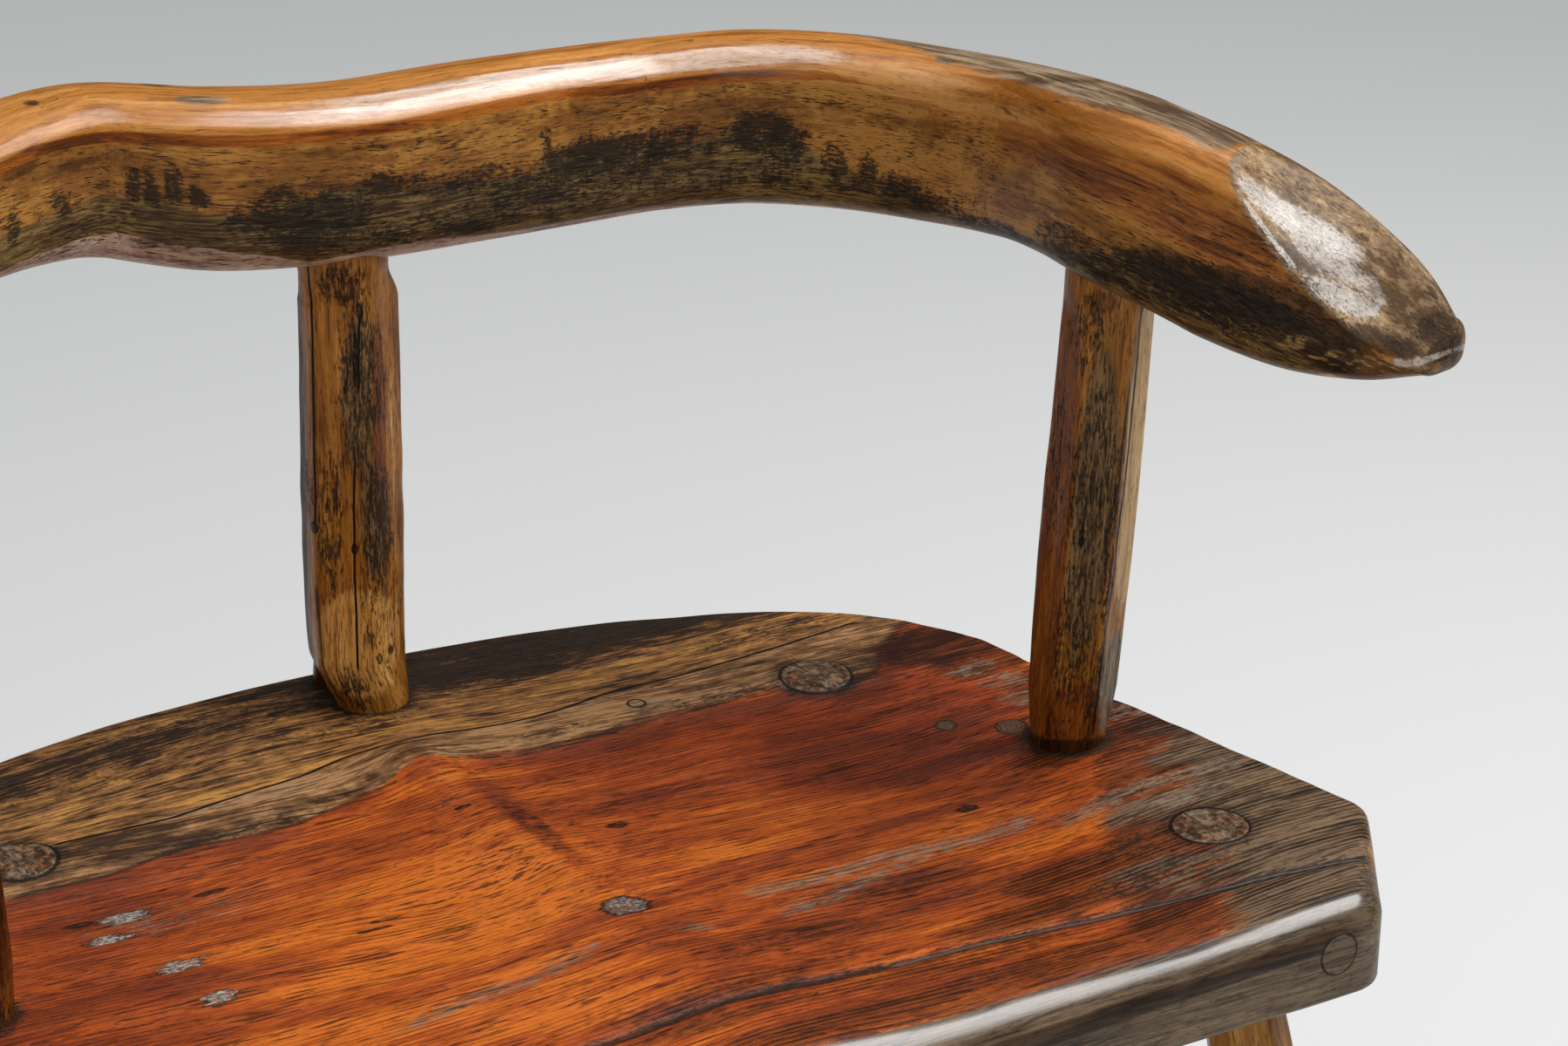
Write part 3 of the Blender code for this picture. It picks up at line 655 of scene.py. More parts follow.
    def share_of(self, wood: dict[str, Wire], coating: Coating, deep: Wire) -> Wire:
        """Which tone the grain picks: a weighted sum of its parts, spread by contrast, less the deep mask."""
        total = None
        for name, weight in zip(PARTS, coating.pattern.value):
            if weight:
                part = (wood[name] - 0.5) * weight
                total = part if total is None else total + part
        return total * (2.2 * coating.contrast) + 0.5 - deep * 0.22

    def tone_of(self, graph: Graph, wood: dict[str, Wire], coating: Coating, deep: Wire) -> Wire:
        """The bare wood's colour."""
        share = self.share_of(wood, coating, deep)
        return graph.tones(share, *coating.tone.paints())


class MarkKind(Enum):
    """What a mark looks like: its inner tone, its rim's share of black, its rings' share and its depth."""

    GREY_KNOT = ("8E8A80", 0.8, 0.5, 0.5)
    PIT = ("B4AEA2", 0.3, 0.15, 0.6)
    RING_KNOT = ("6E5A44", 0.7, 0.6, 0.1)
    DARK_KNOT = ("2A1A12", 0.6, 0.2, 0.3)
    OUTLINE = ("", 0.95, 0.0, 0.0)
    FAINT = ("", 0.35, 0.0, 0.0)
    BLACK_KNOT = ("1B130D", 0.8, 0.3, 0.3)
    BROWN_SPOT = ("4A2412", 0.4, 0.2, 0.1)


@dataclass(frozen=True)
class Mark:
    """A knot, pit or ring at a place in the wood's own plan."""

    across: float
    along: float
    length: float
    width: float
    kind: MarkKind
    rag: float = 0.5
    speck: float = 0.3          # how much of it is speckled black
    edge: float = 0.24          # width of its dark rim, as a share of its size


@dataclass(frozen=True)
class Crease:
    """A crack or a groove along a line through points of the wood's own plan."""

    points: tuple[tuple[float, float], ...]
    half_width: float
    depth: float                # millimetres
    tone: str = "0E0A08"
    sway: float = 0.001         # how far noise bends it
    share: float = 1.0


@dataclass
class Marks:
    """Draws placed marks over a wood's colour and height."""

    graph: Graph
    grain: Wire
    tear: Wire

    def draw(
        self, colour: Wire, height: Wire, marks: Sequence[Mark], creases: Sequence[Crease]
    ) -> tuple[Wire, Wire]:
        """Lay the creases and then the marks over the wood.

        Args:
            colour: The wood's colour so far.
            height: Its height in millimetres so far.
            marks: The marks.
            creases: The creases.

        Returns:
            The new colour and height.
        """
        if not marks and not creases:
            return colour, height
        across, along, _ = self.graph.parts(self.graph.attribute("plan", "Vector"))
        bend = self.graph.noise(self.grain, (0.018, 0.02, 0.02), 4.0, 0.6) - 0.5
        upright_only = self.graph.attribute("face")
        speck = self.graph.noise(self.grain, (0.002, 0.0013, 0.0013), 4.0, 0.7).ramp(0.43, 0.57)
        gap = self.graph.noise(self.grain, (0.0042, 0.0016, 0.0016), 3.0, 0.6).ramp(0.49, 0.6) * 0.6
        for crease in creases:
            line = self.graph.route(across, crease.points) + bend * (4.0 * crease.sway)
            near = (along - line).size().ramp(crease.half_width, crease.half_width * 0.35)
            first, last = crease.points[0][0], crease.points[-1][0]
            inside = (across - first).ramp(0.0, 0.004) * (last - across).ramp(0.0, 0.004)
            near = near * inside * upright_only * crease.share
            colour = self.graph.mix(near, colour, paint(crease.tone))
            height = height - near * crease.depth
        for mark in marks:
            placed = KNOT_GROUP.place(
                self.graph, Across=across, Along=along, X=mark.across, Y=mark.along, Length=mark.length,
                Width=mark.width, Tear=self.tear, Rag=mark.rag, Edge=mark.edge,
            )
            tone, rim_share, ring_share, depth = mark.kind.value
            disc, rim = placed["Disc"] * upright_only, placed["Rim"] * upright_only
            if tone:
                inner = self.graph.mix(speck * mark.speck, paint(tone), paint("1D1A17"))
                colour = self.graph.mix(disc * (0.95 - gap), colour, inner)
                colour = self.graph.mix(placed["Rings"] * upright_only * ring_share, colour, paint("17130F"))
                height = height - disc * depth
            colour = self.graph.mix(rim * rim_share, colour, paint("120D0A"))
            height = height - rim * 0.35
        return colour, height


SEAT_WOOD = WoodFinish(
    "seat_slab_wood", bare=Tone("C08A48", "90633A", "3E2B1D"), bare_pattern=Pattern.FIGURED,
    coatings=(
        Coating("strip", Tone("AE8258", "7A5636", "47301F"), Pattern.FIGURED, rag=1.6, dull=0.4),
        Coating("worn", Tone("CE6A22", "AA4C1C", "843A1C"), Pattern.WORN, rag=1.7, contrast=1.25),
        Coating("red", Tone("AC4A20", "8C381B", "642A17"), Pattern.WORN, rag=2.2, cover=0.85, contrast=1.3),
        Coating("brown", Tone("7C3C18", "4E2612", "27140C"), Pattern.BOLD, rag=2.6, cover=0.9, dull=0.1),
        Coating(
            "grey", Tone("74604B", "4E3D2C", "261B13"), Pattern.BOLD, rag=2.4, cover=0.92, dull=0.5,
            contrast=1.7,
        ),
        Coating(
            "front", Tone("82705A", "655443", "43372A"), Pattern.FIBROUS, rag=0.9, cover=0.96, dull=0.15,
            contrast=1.2,
        ),
        Coating("lip", Tone("4A3524", "2E1F15", "1C130E"), rag=1.2, cover=0.88, dull=0.3),
        # The pale layer lays grey flecks along the grain, and painted sheen streaks along the dish.
        Coating(
            "pale", Tone("8E7E6A", "766856", "584B3D"), Pattern.LINES, rag=3.0, flecked=True, cover=0.8,
            dull=0.4,
        ),
    ),
    long=1.9, pith=(0.6, 0.0), ring=0.0027, wander=0.01, ring_tint=0.3, check=1.25, check_tint=0.75,
    rough=0.38, coat=0.16, dirt_run=0.55, contrast=1.45, grit_tint=0.7,
)
ARM_WOOD = WoodFinish(
    "arm_branch_wood", bare=Tone("D09450", "BC7A36", "94591D"),
    coatings=(
        Coating("tan", Tone("B6803A", "8C5B27", "5A3716"), Pattern.SMOOTH, rag=0.4, dull=0.1, contrast=1.5),
        Coating("rust", Tone("B06C32", "884E23", "502A12"), rag=1.8, cover=0.88),
        Coating(
            "olive", Tone("8C7748", "5E4D2F", "33291C"), Pattern.FIBROUS, rag=2.2, cover=0.84, dull=0.45,
            contrast=1.7,
        ),
        Coating("grey", Tone("968871", "6C5E4B", "3E3429"), Pattern.LINES, rag=1.7, cover=0.88, dull=0.9),
        Coating(
            "nose", Tone("B89C74", "8A7254", "54422E"), Pattern.CRACKLE, rag=1.6, cover=0.9, dull=0.4,
            contrast=1.7,
        ),
        Coating("umber", Tone("54381F", "382514", "20160D"), rag=2.6, cover=0.86, dull=0.4),
        Coating("arris", Tone("A65C1E", "814013", "50250E"), rag=1.0, cover=0.88),
        Coating("gold", Tone("B08C54", "927040", "6C4E28"), Pattern.LINES, rag=1.6, cover=0.85),
        # The rub layer is a near-white highlight painted along the rounded inner top edge, over its rubbed
        # wear.
        Coating("rub_and_painted_highlight", Tone("F0E0D4", "DFC6B2", "BE9872"), Pattern.LINES, rag=0.9, cover=0.62, contrast=1.2),
        # The scuff layer is pale highlights painted on the planed right nose, and a pale worn edge at its
        # tip.
        Coating(
            "scuff_and_painted_highlight", Tone("E2DCD8", "C8BEB4", "9C8E80"), Pattern.CRACKLE, rag=1.3, flecked=True, cover=0.74,
            contrast=1.1,
        ),
        Coating("bevel", Tone("D8BEA8", "BC9E88", "7C604C"), Pattern.SMOOTH, rag=0.9, dull=0.5),
    ),
    long=1.0, pith=(0.003, -0.002), ring=0.0024, wander=0.01, ring_tint=0.12, check=0.66, check_tint=0.85,
    rough=0.33, coat=0.11, contrast=1.2, grit_tint=0.4,
)
STICK_WOOD = WoodFinish(
    "stick_wood", bare=Tone("C68C3E", "A46A26", "724317"),
    coatings=(
        Coating("tan", Tone("9E7C4C", "7C5E38", "4E3820"), Pattern.FIBROUS, rag=1.4, dull=0.2, contrast=1.4),
        Coating("orange", Tone("A66220", "7E4314", "4A210C"), rag=1.2, contrast=1.0),
        # The honey layer is amber wood, made lighter as painted light on the back stick's shaded foot.
        Coating("honey", Tone("F0BC6E", "D8A052", "9A682C"), rag=0.9, contrast=1.0),
        Coating("pale", Tone("EAC490", "D2AA74", "9C784A"), rag=0.7, dull=0.1, contrast=1.0),
        Coating("grey", Tone("988870", "72644F", "44382B"), Pattern.LINES, rag=1.6, dull=0.5),
        Coating("umber", Tone("4C2A12", "34190A", "1C0F08"), rag=1.6, cover=0.9, dull=0.1),
    ),
    dirt_run=0.8, long=0.9, pith=(0.004, 0.01), ring=0.0026, wander=0.006, ring_tint=0.14, check_tint=0.8,
    rough=0.38, coat=0.09, contrast=1.1,
)
LEG_WOOD = replace(
    STICK_WOOD, title="leg_wood", dirt_run=0.5, coat=0.2, rough=0.42,
    coatings=STICK_WOOD.coatings + (
        Coating("end", Tone("807664", "5C4835", "30241B"), Pattern.END, rag=0.6, dull=0.5, contrast=1.5),
        Coating("rust", Tone("A85C26", "824018", "4C220E"), Pattern.END, rag=2.6, cover=0.85),
    ),
)


# Sub-assemblies


@dataclass(frozen=True)
class Bench:
    """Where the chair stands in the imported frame."""

    seat_front: float = 0.3016

    @property
    def seat_top(self) -> float:
        """Floor to the flat of the seat."""
        return float(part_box("seat")[1].z)

    @property
    def shift(self) -> Array:
        """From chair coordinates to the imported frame."""
        low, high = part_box("seat")
        return np.array([(low.x + high.x) / 2.0, low.y + self.seat_front, 0.0])

    def piece(
        self, name: str, points: Array, masks: dict[str, Array], stands_for: str, slot: str,
    ) -> bpy.types.Object:
        """Make a piece from points in chair coordinates, and put it in the place of its solid.

        Args:
            name: The piece's name.
            points: Rings of points.
            masks: The points' grain and masks.
            stands_for: The node that it replaces.
            slot: Not used.

        Returns:
            The piece, riding on the chair's body.
        """
        piece = tube(name, points + self.shift, masks)
        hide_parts(stands_for)
        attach(piece, BODY)
        return piece


BENCH = Bench()
# The legs: name, where the tenon comes out of the seat's top, and what it leans outward along X and along Y
LEGS = (
    ("front_right", 0.2495, -0.2145, 0.16, -0.15), ("front_left", -0.2495, -0.2145, -0.16, -0.15),
    ("back_right", 0.1892, 0.0, 0.15, 0.24), ("back_left", -0.1892, 0.0, -0.15, 0.24),
)


@dataclass
class Seat:
    """The slab: straight front, clipped corners, tapering sides, arched back, worn twin-lobed top."""

    front: float = BENCH.seat_front
    back: float = 0.1175
    half_width: float = 0.32
    thickness: float = 0.042
    clip_across: float = 0.048
    clip_back: float = 0.07
    corner_radius: float = 0.02
    shoulder_half_width: float = 0.284
    shoulder_front: float = 0.034
    arch_squareness: float = 2.25
    front_round: float = 0.022
    corner_round: float = 0.011
    side_round: float = 0.005
    bottom_round: float = 0.003
    dish_depth: float = 0.0045
    dish_centre: float = 0.125
    dish_half_width: float = 0.105
    dish_back: float = 0.002    # how far behind the worn line it is half as deep
    dish_slope: float = 0.007
    ridge_height: float = 0.0016
    bump_height: float = 0.0012
    wave_heights: tuple[float, float] = (0.00045, 0.00018)
    groove_depth: float = 0.0011
    stray: float = 0.0004       # how far the hand that cut the outline strayed
    pole: tuple[float, float] = (0.0, -0.1)
    sides: int = 600
    bottom_rings: int = 14
    side_rings: int = 7
    edge_rings: int = 12
    top_rings: int = 104
    corner_points: int = 24
    tenon_radius: float = 0.0159
    worn_back: tuple[tuple[float, float], ...] = (
        (-0.3, -0.03), (-0.2065, -0.0277), (-0.1624, -0.0268), (-0.1215, -0.0185), (-0.092, -0.0215),
        (-0.0666, -0.0171), (-0.0299, -0.007), (-0.0072, 0.0061), (0.0203, -0.0056), (0.0571, -0.0082),
        (0.109, -0.0008), (0.164, 0.0008), (0.1886, -0.019), (0.2161, -0.01), (0.232, 0.01), (0.25, 0.026),
        (0.3, 0.05),
    )

    def outline(self) -> Array:
        """The plan, evenly spaced: straight runs joined by arcs, and the back a superellipse.

        Returns:
            The outline's points, anticlockwise from the middle of the front.
        """
        front_corner = np.array([self.half_width - self.clip_across, -self.front])
        side_corner = np.array([self.half_width, self.clip_back - self.front])
        shoulder = np.array([self.shoulder_half_width, -self.shoulder_front])
        angle = np.linspace(0.0, math.pi / 2.0, 400)
        power = 2.0 / self.arch_squareness
        arch_x = self.shoulder_half_width * np.cos(angle) ** power
        arch_y = (self.back + self.shoulder_front) * np.sin(angle) ** power - self.shoulder_front
        start = np.array([0.0, -self.front])
        right = np.vstack([
            start[None], self.arc(start, front_corner, side_corner),
            self.arc(front_corner, side_corner, shoulder), np.stack([arch_x, arch_y], axis=1),
        ])
        whole = np.vstack([right, right[-2::-1] * (-1.0, 1.0)])
        length = np.concatenate([[0.0], np.cumsum(np.linalg.norm(np.diff(whole, axis=0), axis=1))])
        even = np.arange(self.sides) / self.sides * length[-1]
        return np.stack([np.interp(even, length, whole[:, 0]), np.interp(even, length, whole[:, 1])], axis=1)

    def arc(self, before: Array, corner: Array, after: Array) -> Array:
        """Points of the arc that rounds a corner: turned rays about the centre on the corner's bisector.

        Args:
            before: A point on the edge that comes in.
            corner: The sharp corner.
            after: A point on the edge that goes out.

        Returns:
            The arc's points.
        """
        back = (before - corner) / np.linalg.norm(before - corner)
        ahead = (after - corner) / np.linalg.norm(after - corner)
        half = math.acos(float(back @ ahead)) / 2.0
        middle = corner + (back + ahead) / np.linalg.norm(back + ahead) * self.corner_radius / math.sin(half)
        first = corner + back * self.corner_radius / math.tan(half) - middle
        last = corner + ahead * self.corner_radius / math.tan(half) - middle
        turn = math.pi - 2.0 * half
        share = np.linspace(0.0, 1.0, self.corner_points)[:, None]
        return middle + (first * np.sin((1.0 - share) * turn) + last * np.sin(share * turn)) / math.sin(turn)

    def edge_round(self, plan: Array) -> Array:
        """Radius of the worn top edge: large along the front, small round the sides and the back."""
        middle = 1.0 - (plan[..., 0] / self.half_width) ** 2
        front = self.corner_round + (self.front_round - self.corner_round) * middle
        share = soft_step(-plan[..., 1] - self.front + self.clip_back, 0.0, self.clip_back)
        return self.side_round + (front - self.side_round) * share

    def relief(self, x: Array, y: Array) -> Array:
        """Height of the top over its flat: the two-lobed dish, the ridge between, its bump, and worn waves.

        Args:
            x: Across the chair.
            y: From the back leg line.

        Returns:
            The height in metres, mostly below zero.
        """
        line = line_at(x, self.worn_back)
        lobes = np.exp(-(((np.abs(x) - self.dish_centre) / self.dish_half_width) ** 4))
        behind = np.clip((y - line - self.dish_back) / self.dish_slope, -40.0, 40.0)
        depth = self.dish_depth * lobes / (1.0 + np.exp(behind))
        ridge_x = np.interp(y, (-0.15, -0.11, -0.05, 0.0, 0.03), (0.001, -0.002, -0.003, -0.004, -0.004))
        side = x - ridge_x
        ridge = np.where(side < 0.0, np.exp(-((side / 0.02) ** 2)), np.exp(-((side / 0.011) ** 2)))
        ridge = self.ridge_height * ridge * soft_step(y, -0.165, -0.1) * soft_step(y, 0.03, 0.0)
        bump = self.bump_height * np.exp(-(((x + 0.004) / 0.022) ** 2) - ((y - 0.02) / 0.012) ** 2)
        plan = np.stack([x, y, np.zeros_like(x)], axis=-1)
        broad, fine = self.wave_heights
        waves = broad * ripple(plan, (0.22, 0.05, 1.0), 11) + fine * ripple(plan, (0.09, 0.016, 1.0), 12)
        groove = -self.groove_depth * beside(x, y, GROOVE_ROUTE, 0.006)
        return ridge + bump + waves + groove - depth

    def build(self) -> bpy.types.Object:
        """Make the slab: rings from the underside's middle, up the side, over the edge and into the top."""
        plan = self.outline()
        way = np.roll(plan, -1, axis=0) - np.roll(plan, 1, axis=0)
        way /= np.linalg.norm(way, axis=1)[:, None]
        inward = np.stack([-way[:, 1], way[:, 0]], axis=1)
        hand = ripple(np.hstack([plan, plan[:, :1] * 0.0]), 0.07, 5)
        plan = plan + inward * (self.stray + self.stray * hand)[:, None]
        radius = self.edge_round(plan)
        top = BENCH.seat_top
        low = top - self.thickness
        rings, flat = [], []
        for share in np.linspace(0.04, 0.97, self.bottom_rings):
            rings.append(self.level(np.array(self.pole) + (plan - self.pole) * share, low))
        for angle in np.radians((90.0, 60.0, 30.0, 0.0)):
            inset = self.bottom_round * (1.0 - math.cos(angle))
            rings.append(self.level(plan + inward * inset, low + self.bottom_round * (1.0 - math.sin(angle))))
        side_low = low + self.bottom_round
        for share in np.linspace(0.15, 1.0, self.side_rings):
            height = side_low + (top - radius - side_low) * share
            rings.append(self.level(plan, height))
        flat += [0.0] * len(rings)
        for angle in np.radians(np.linspace(7.5, 90.0, self.edge_rings)):
            loop = plan + inward * (radius * (1.0 - math.cos(angle)))[:, None]
            drop = radius * (1.0 - math.sin(angle))
            share = math.sin(angle) ** 2
            rings.append(self.level(loop, top - drop + self.relief(loop[:, 0], loop[:, 1]) * share))
            flat.append(share)
        edge = plan + inward * radius[:, None]
        for share in 1.0 - np.linspace(0.0, 1.0, self.top_rings + 2)[1:-1]:
            loop = np.array(self.pole) + (edge - self.pole) * share
            rings.append(self.level(loop, top + self.relief(loop[:, 0], loop[:, 1])))
            flat.append(1.0)
        points = np.array(rings)
        upper = np.broadcast_to(np.array(flat)[:, None], points.shape[:2])
        piece = BENCH.piece("seat_slab", points, self.masks(points, upper), "seat", "seat")
        piece.data.materials.append(SEAT_WOOD.material(SEAT_MARKS, SEAT_CREASES))
        return piece

    @staticmethod
    def level(plan: Array, height: Union[float, Array]) -> Array:
        """Plan points lifted to a height."""
        return np.column_stack([plan, np.broadcast_to(height, len(plan))])

    def masks(self, points: Array, upper: Array) -> dict[str, Array]:
        """Where the slab is worn red, weathered, dirty, scuffed or painted with sheen.

        Args:
            points: The slab's points in chair coordinates.
            upper: 1 on the top, 0 on the sides and below.

        Returns:
            The masks by name, with the bent grain.
        """
        x, y, z = points[..., 0], points[..., 1], points[..., 2]
        line = line_at(x, self.worn_back)
        crack = line_at(x, CRACK_ROUTE)
        edge = soft_step(y - line, 0.003, -0.003)
        corner_line = x * 0.86 - y * 0.5
        corner = soft_step(corner_line, 0.296, 0.345)
        round_edge = np.sqrt(upper)
        fore = soft_step(y, -0.27, -0.284)
        worn = edge * upper * (1.0 - corner) * (1.0 - fore * soft_step(round_edge, 0.97, 0.86))
        red = spots(x, y, RED_SPOTS) * worn
        deep = spots(x, y, DEEP_SPOTS) - spots(x, y, BRIGHT_SPOTS)
        deep = deep + 0.7 * beside(x, y - line, ((-0.34, -0.004), (0.34, -0.004)), 0.01)
        strip = (1.0 - edge) * soft_step(y - crack, 0.003, -0.002) * upper
        brown = np.maximum(spots(x, y, BROWN_SPOTS), 0.62 * soft_step(y, -0.262, -0.272))
        brown = np.maximum(brown, 0.72 * soft_step(np.abs(corner_line - 0.3), 0.04, 0.008))
        stain = 0.66 * beside(x, y - line, ((-0.34, 0.001), (0.34, 0.001)), 0.007) * soft_step(x, -0.04, 0.03)
        brown = np.maximum(brown, stain) * upper
        grey = np.maximum(spots(x, y, GREY_SPOTS), corner * 0.8) * np.sqrt(upper)
        front_face = soft_step(y, -0.296, -0.3)
        lip = z - BENCH.seat_top + self.edge_round(points)
        front = np.maximum(1.0 - round_edge, fore * soft_step(round_edge, 0.985, 0.86))
        dirt = np.maximum(spots(x, y, SEAT_DIRT), beside(x, y, GROOVE_ROUTE, 0.007) * 0.55)
        # Each stick's foot gets a dark ring in the seat: dirt with a painted contact shadow.
        for foot_x, foot_y, reach in STICK_FEET:
            ring = np.hypot(x - foot_x, y - foot_y)
            dirt = np.maximum(dirt, soft_step(ring, reach + 0.008, reach))
        for _, foot_x, foot_y, _, _ in LEGS:
            ring = np.hypot(x - foot_x, y - foot_y)
            dirt = np.maximum(dirt, 0.4 * soft_step(ring, self.tenon_radius + 0.006, self.tenon_radius))
        dirt = dirt * upper
        under_lip = soft_step(np.abs(lip - 0.002), 0.0065, 0.002) * fore * soft_step(x, 0.285, 0.235) * 0.86
        deep = deep * upper
        # Grey flecks, and painted sheen streaks along the dish.
        pale = np.zeros_like(x)
        for route, width, strength in SHEEN_ROUTES:
            pale = np.maximum(pale, strength * beside(x, y, route, width))
        pale = np.maximum(pale, spots(x, y, PALE_SPOTS)) * upper
        shine = 1.15 * soft_step(round_edge, 0.58, 0.76) * soft_step(round_edge, 0.995, 0.93)
        shine = shine * soft_step(y, -0.26, -0.285)
        return {
            "grain": self.grain(points), "plan": points, "worn": worn, "red": red, "deep": deep,
            "strip": strip, "brown": brown, "grey": grey, "front": front, "dirt": dirt, "pale": pale,
            "face": upper * (1.0 - front_face), "shine": shine, "checks": upper, "lip": under_lip,
        }

    def grain(self, points: Array) -> Array:
        """The bent grain: along X, fanned out at the back left, humped over the ridge, swirled at one place.

        Args:
            points: Points in chair coordinates.

        Returns:
            Along, across and down the grain at each of them.
        """
        x, y, z = points[..., 0], points[..., 1], points[..., 2]
        crack = line_at(x, CRACK_ROUTE)
        fan = soft_step(y - crack, -0.002, 0.05) * soft_step(x, 0.1, -0.12)
        hump = np.exp(-(((x + 0.004) / 0.03) ** 2) - ((y - 0.012) / 0.024) ** 2)
        flow = y - 0.16 * (x + 0.17) * fan - 0.01 * hump
        swirl = np.exp(-(((x + 0.044) / 0.045) ** 2) - ((y + 0.117) / 0.012) ** 2)
        flow = flow + 0.0022 * ripple(points, (0.3, 0.09, 0.5), 21) + 0.006 * swirl
        return np.stack([x, flow, z - BENCH.seat_top], axis=-1)


GROOVE_ROUTE = (
    (-0.0655, -0.2437), (0.0067, -0.2426), (0.0713, -0.2447), (0.1388, -0.2484), (0.208, -0.2565),
    (0.2683, -0.2665), (0.29, -0.2723),
)
CRACK_ROUTE = (
    (-0.173, 0.006), (-0.1385, 0.0053), (-0.0978, 0.0105), (-0.0639, 0.0156), (-0.0019, 0.0257),
    (0.0512, 0.0217), (0.098, 0.0275), (0.144, 0.03), (0.1939, 0.0353), (0.2392, 0.0429),
)
RED_SPOTS = (
    (0.19, -0.06, 0.12, 0.075, 0.62), (0.11, -0.03, 0.12, 0.03, 0.55), (0.235, -0.02, 0.08, 0.045, 0.7),
    (-0.19, -0.06, 0.09, 0.045, 0.5), (0.08, -0.075, 0.07, 0.025, 0.45), (0.23, -0.105, 0.06, 0.03, 0.6),
    (-0.22, -0.13, 0.08, 0.06, 0.45),
)
DEEP_SPOTS = (
    (0.264, 0.0, 0.05, 0.026, 1.3), (0.292, -0.095, 0.03, 0.05, 0.8), (0.11, -0.268, 0.12, 0.012, 0.9),
    (0.04, -0.212, 0.07, 0.022, 0.9), (0.12, -0.2, 0.05, 0.02, 0.9), (-0.04, -0.243, 0.1, 0.014, 0.6),
    (0.1, 0.088, 0.14, 0.03, 1.6), (0.02, 0.106, 0.1, 0.012, 1.2), (-0.17, 0.075, 0.12, 0.018, 1.1),
    (-0.16, -0.006, 0.08, 0.016, 0.6), (0.172, -0.074, 0.07, 0.05, 0.8), (0.207, -0.06, 0.05, 0.04, 0.8),
    (0.06, -0.072, 0.055, 0.03, 0.55), (-0.126, -0.057, 0.08, 0.025, 0.6), (-0.208, -0.126, 0.07, 0.05, 0.7),
    (0.2, -0.118, 0.08, 0.03, 0.6), (0.006, -0.06, 0.01, 0.06, 0.7), (0.15, -0.205, 0.06, 0.02, 0.6),
    (0.235, -0.02, 0.05, 0.03, 0.6), (0.1, -0.01, 0.1, 0.012, 0.7), (-0.16, -0.035, 0.08, 0.012, 0.6),
    (0.008, -0.2, 0.02, 0.03, 0.5),
)
BRIGHT_SPOTS = (
    (0.06, 0.008, 0.06, 0.018, 0.8), (-0.06, 0.012, 0.05, 0.014, 0.7), (-0.033, -0.11, 0.06, 0.04, 0.7),
    (-0.08, -0.144, 0.06, 0.025, 0.6), (-0.04, -0.212, 0.06, 0.022, 0.7), (0.04, -0.215, 0.05, 0.022, 0.2),
    (-0.004, -0.018, 0.03, 0.014, 0.4), (0.164, -0.125, 0.04, 0.018, 0.4), (0.12, -0.222, 0.06, 0.016, 0.2),
    (0.09, -0.136, 0.05, 0.016, 0.3), (-0.1, -0.1, 0.08, 0.03, 0.5),
)
BROWN_SPOTS = (
    (0.268, 0.002, 0.05, 0.026, 1.1), (0.292, -0.095, 0.04, 0.06, 1.05), (0.292, -0.14, 0.026, 0.03, 0.8),
    (0.236, -0.124, 0.03, 0.016, 0.66), (0.11, -0.186, 0.06, 0.014, 0.52), (0.048, -0.206, 0.06, 0.012, 0.5),
    (0.006, -0.235, 0.07, 0.012, 0.55), (0.12, -0.272, 0.1, 0.008, 0.6), (0.006, -0.076, 0.009, 0.05, 0.55),
    (0.182, -0.217, 0.05, 0.016, 0.8), (0.222, -0.226, 0.05, 0.02, 0.95), (0.24, -0.252, 0.05, 0.014, 0.85),
    (0.15, -0.236, 0.06, 0.012, 0.75), (0.268, -0.02, 0.04, 0.03, 0.7), (0.275, -0.06, 0.03, 0.03, 0.65),
    (0.262, -0.1, 0.03, 0.024, 0.8), (0.236, -0.196, 0.03, 0.016, 0.6), (0.1, -0.255, 0.09, 0.01, 0.6),
    (0.0, -0.252, 0.1, 0.008, 0.55),
)
GREY_SPOTS = (
    (0.29, -0.126, 0.022, 0.014, 0.55), (0.288, -0.152, 0.034, 0.014, 0.66), (0.3, -0.185, 0.026, 0.03, 0.8),
    (0.223, -0.246, 0.04, 0.012, 0.56), (0.205, -0.232, 0.035, 0.012, 0.56), (0.277, -0.25, 0.05, 0.04, 0.8),
    (0.284, -0.209, 0.04, 0.05, 0.78), (0.302, -0.15, 0.03, 0.03, 0.65), (0.243, -0.19, 0.04, 0.018, 0.6),
    (0.23, -0.238, 0.06, 0.012, 0.5),
)
SEAT_DIRT = (
    (0.062, 0.076, 0.06, 0.018, 0.55), (0.105, 0.092, 0.07, 0.018, 0.66), (0.16, 0.088, 0.07, 0.016, 0.64),
    (0.036, 0.1, 0.06, 0.02, 0.5), (-0.06, 0.085, 0.1, 0.02, 0.45), (-0.15, 0.06, 0.09, 0.02, 0.4),
    (0.205, -0.235, 0.05, 0.012, 0.5), (0.228, -0.212, 0.04, 0.014, 0.5), (0.14, 0.004, 0.03, 0.006, 0.55),
    (-0.1, -0.016, 0.05, 0.005, 0.5), (0.055, 0.005, 0.03, 0.005, 0.45), (-0.02, 0.05, 0.05, 0.01, 0.45),
    (0.19, 0.05, 0.05, 0.012, 0.5),
)
PALE_SPOTS = (
    (0.255, -0.03, 0.018, 0.009, 0.52), (0.259, -0.048, 0.016, 0.01, 0.54),
    (0.256, -0.068, 0.014, 0.01, 0.54), (0.262, -0.186, 0.026, 0.009, 0.58),
    (0.108, 0.01, 0.018, 0.008, 0.5), (-0.082, 0.008, 0.06, 0.006, 0.42), (-0.15, -0.068, 0.05, 0.016, 0.36),
    (0.29, -0.105, 0.02, 0.012, 0.5),
)
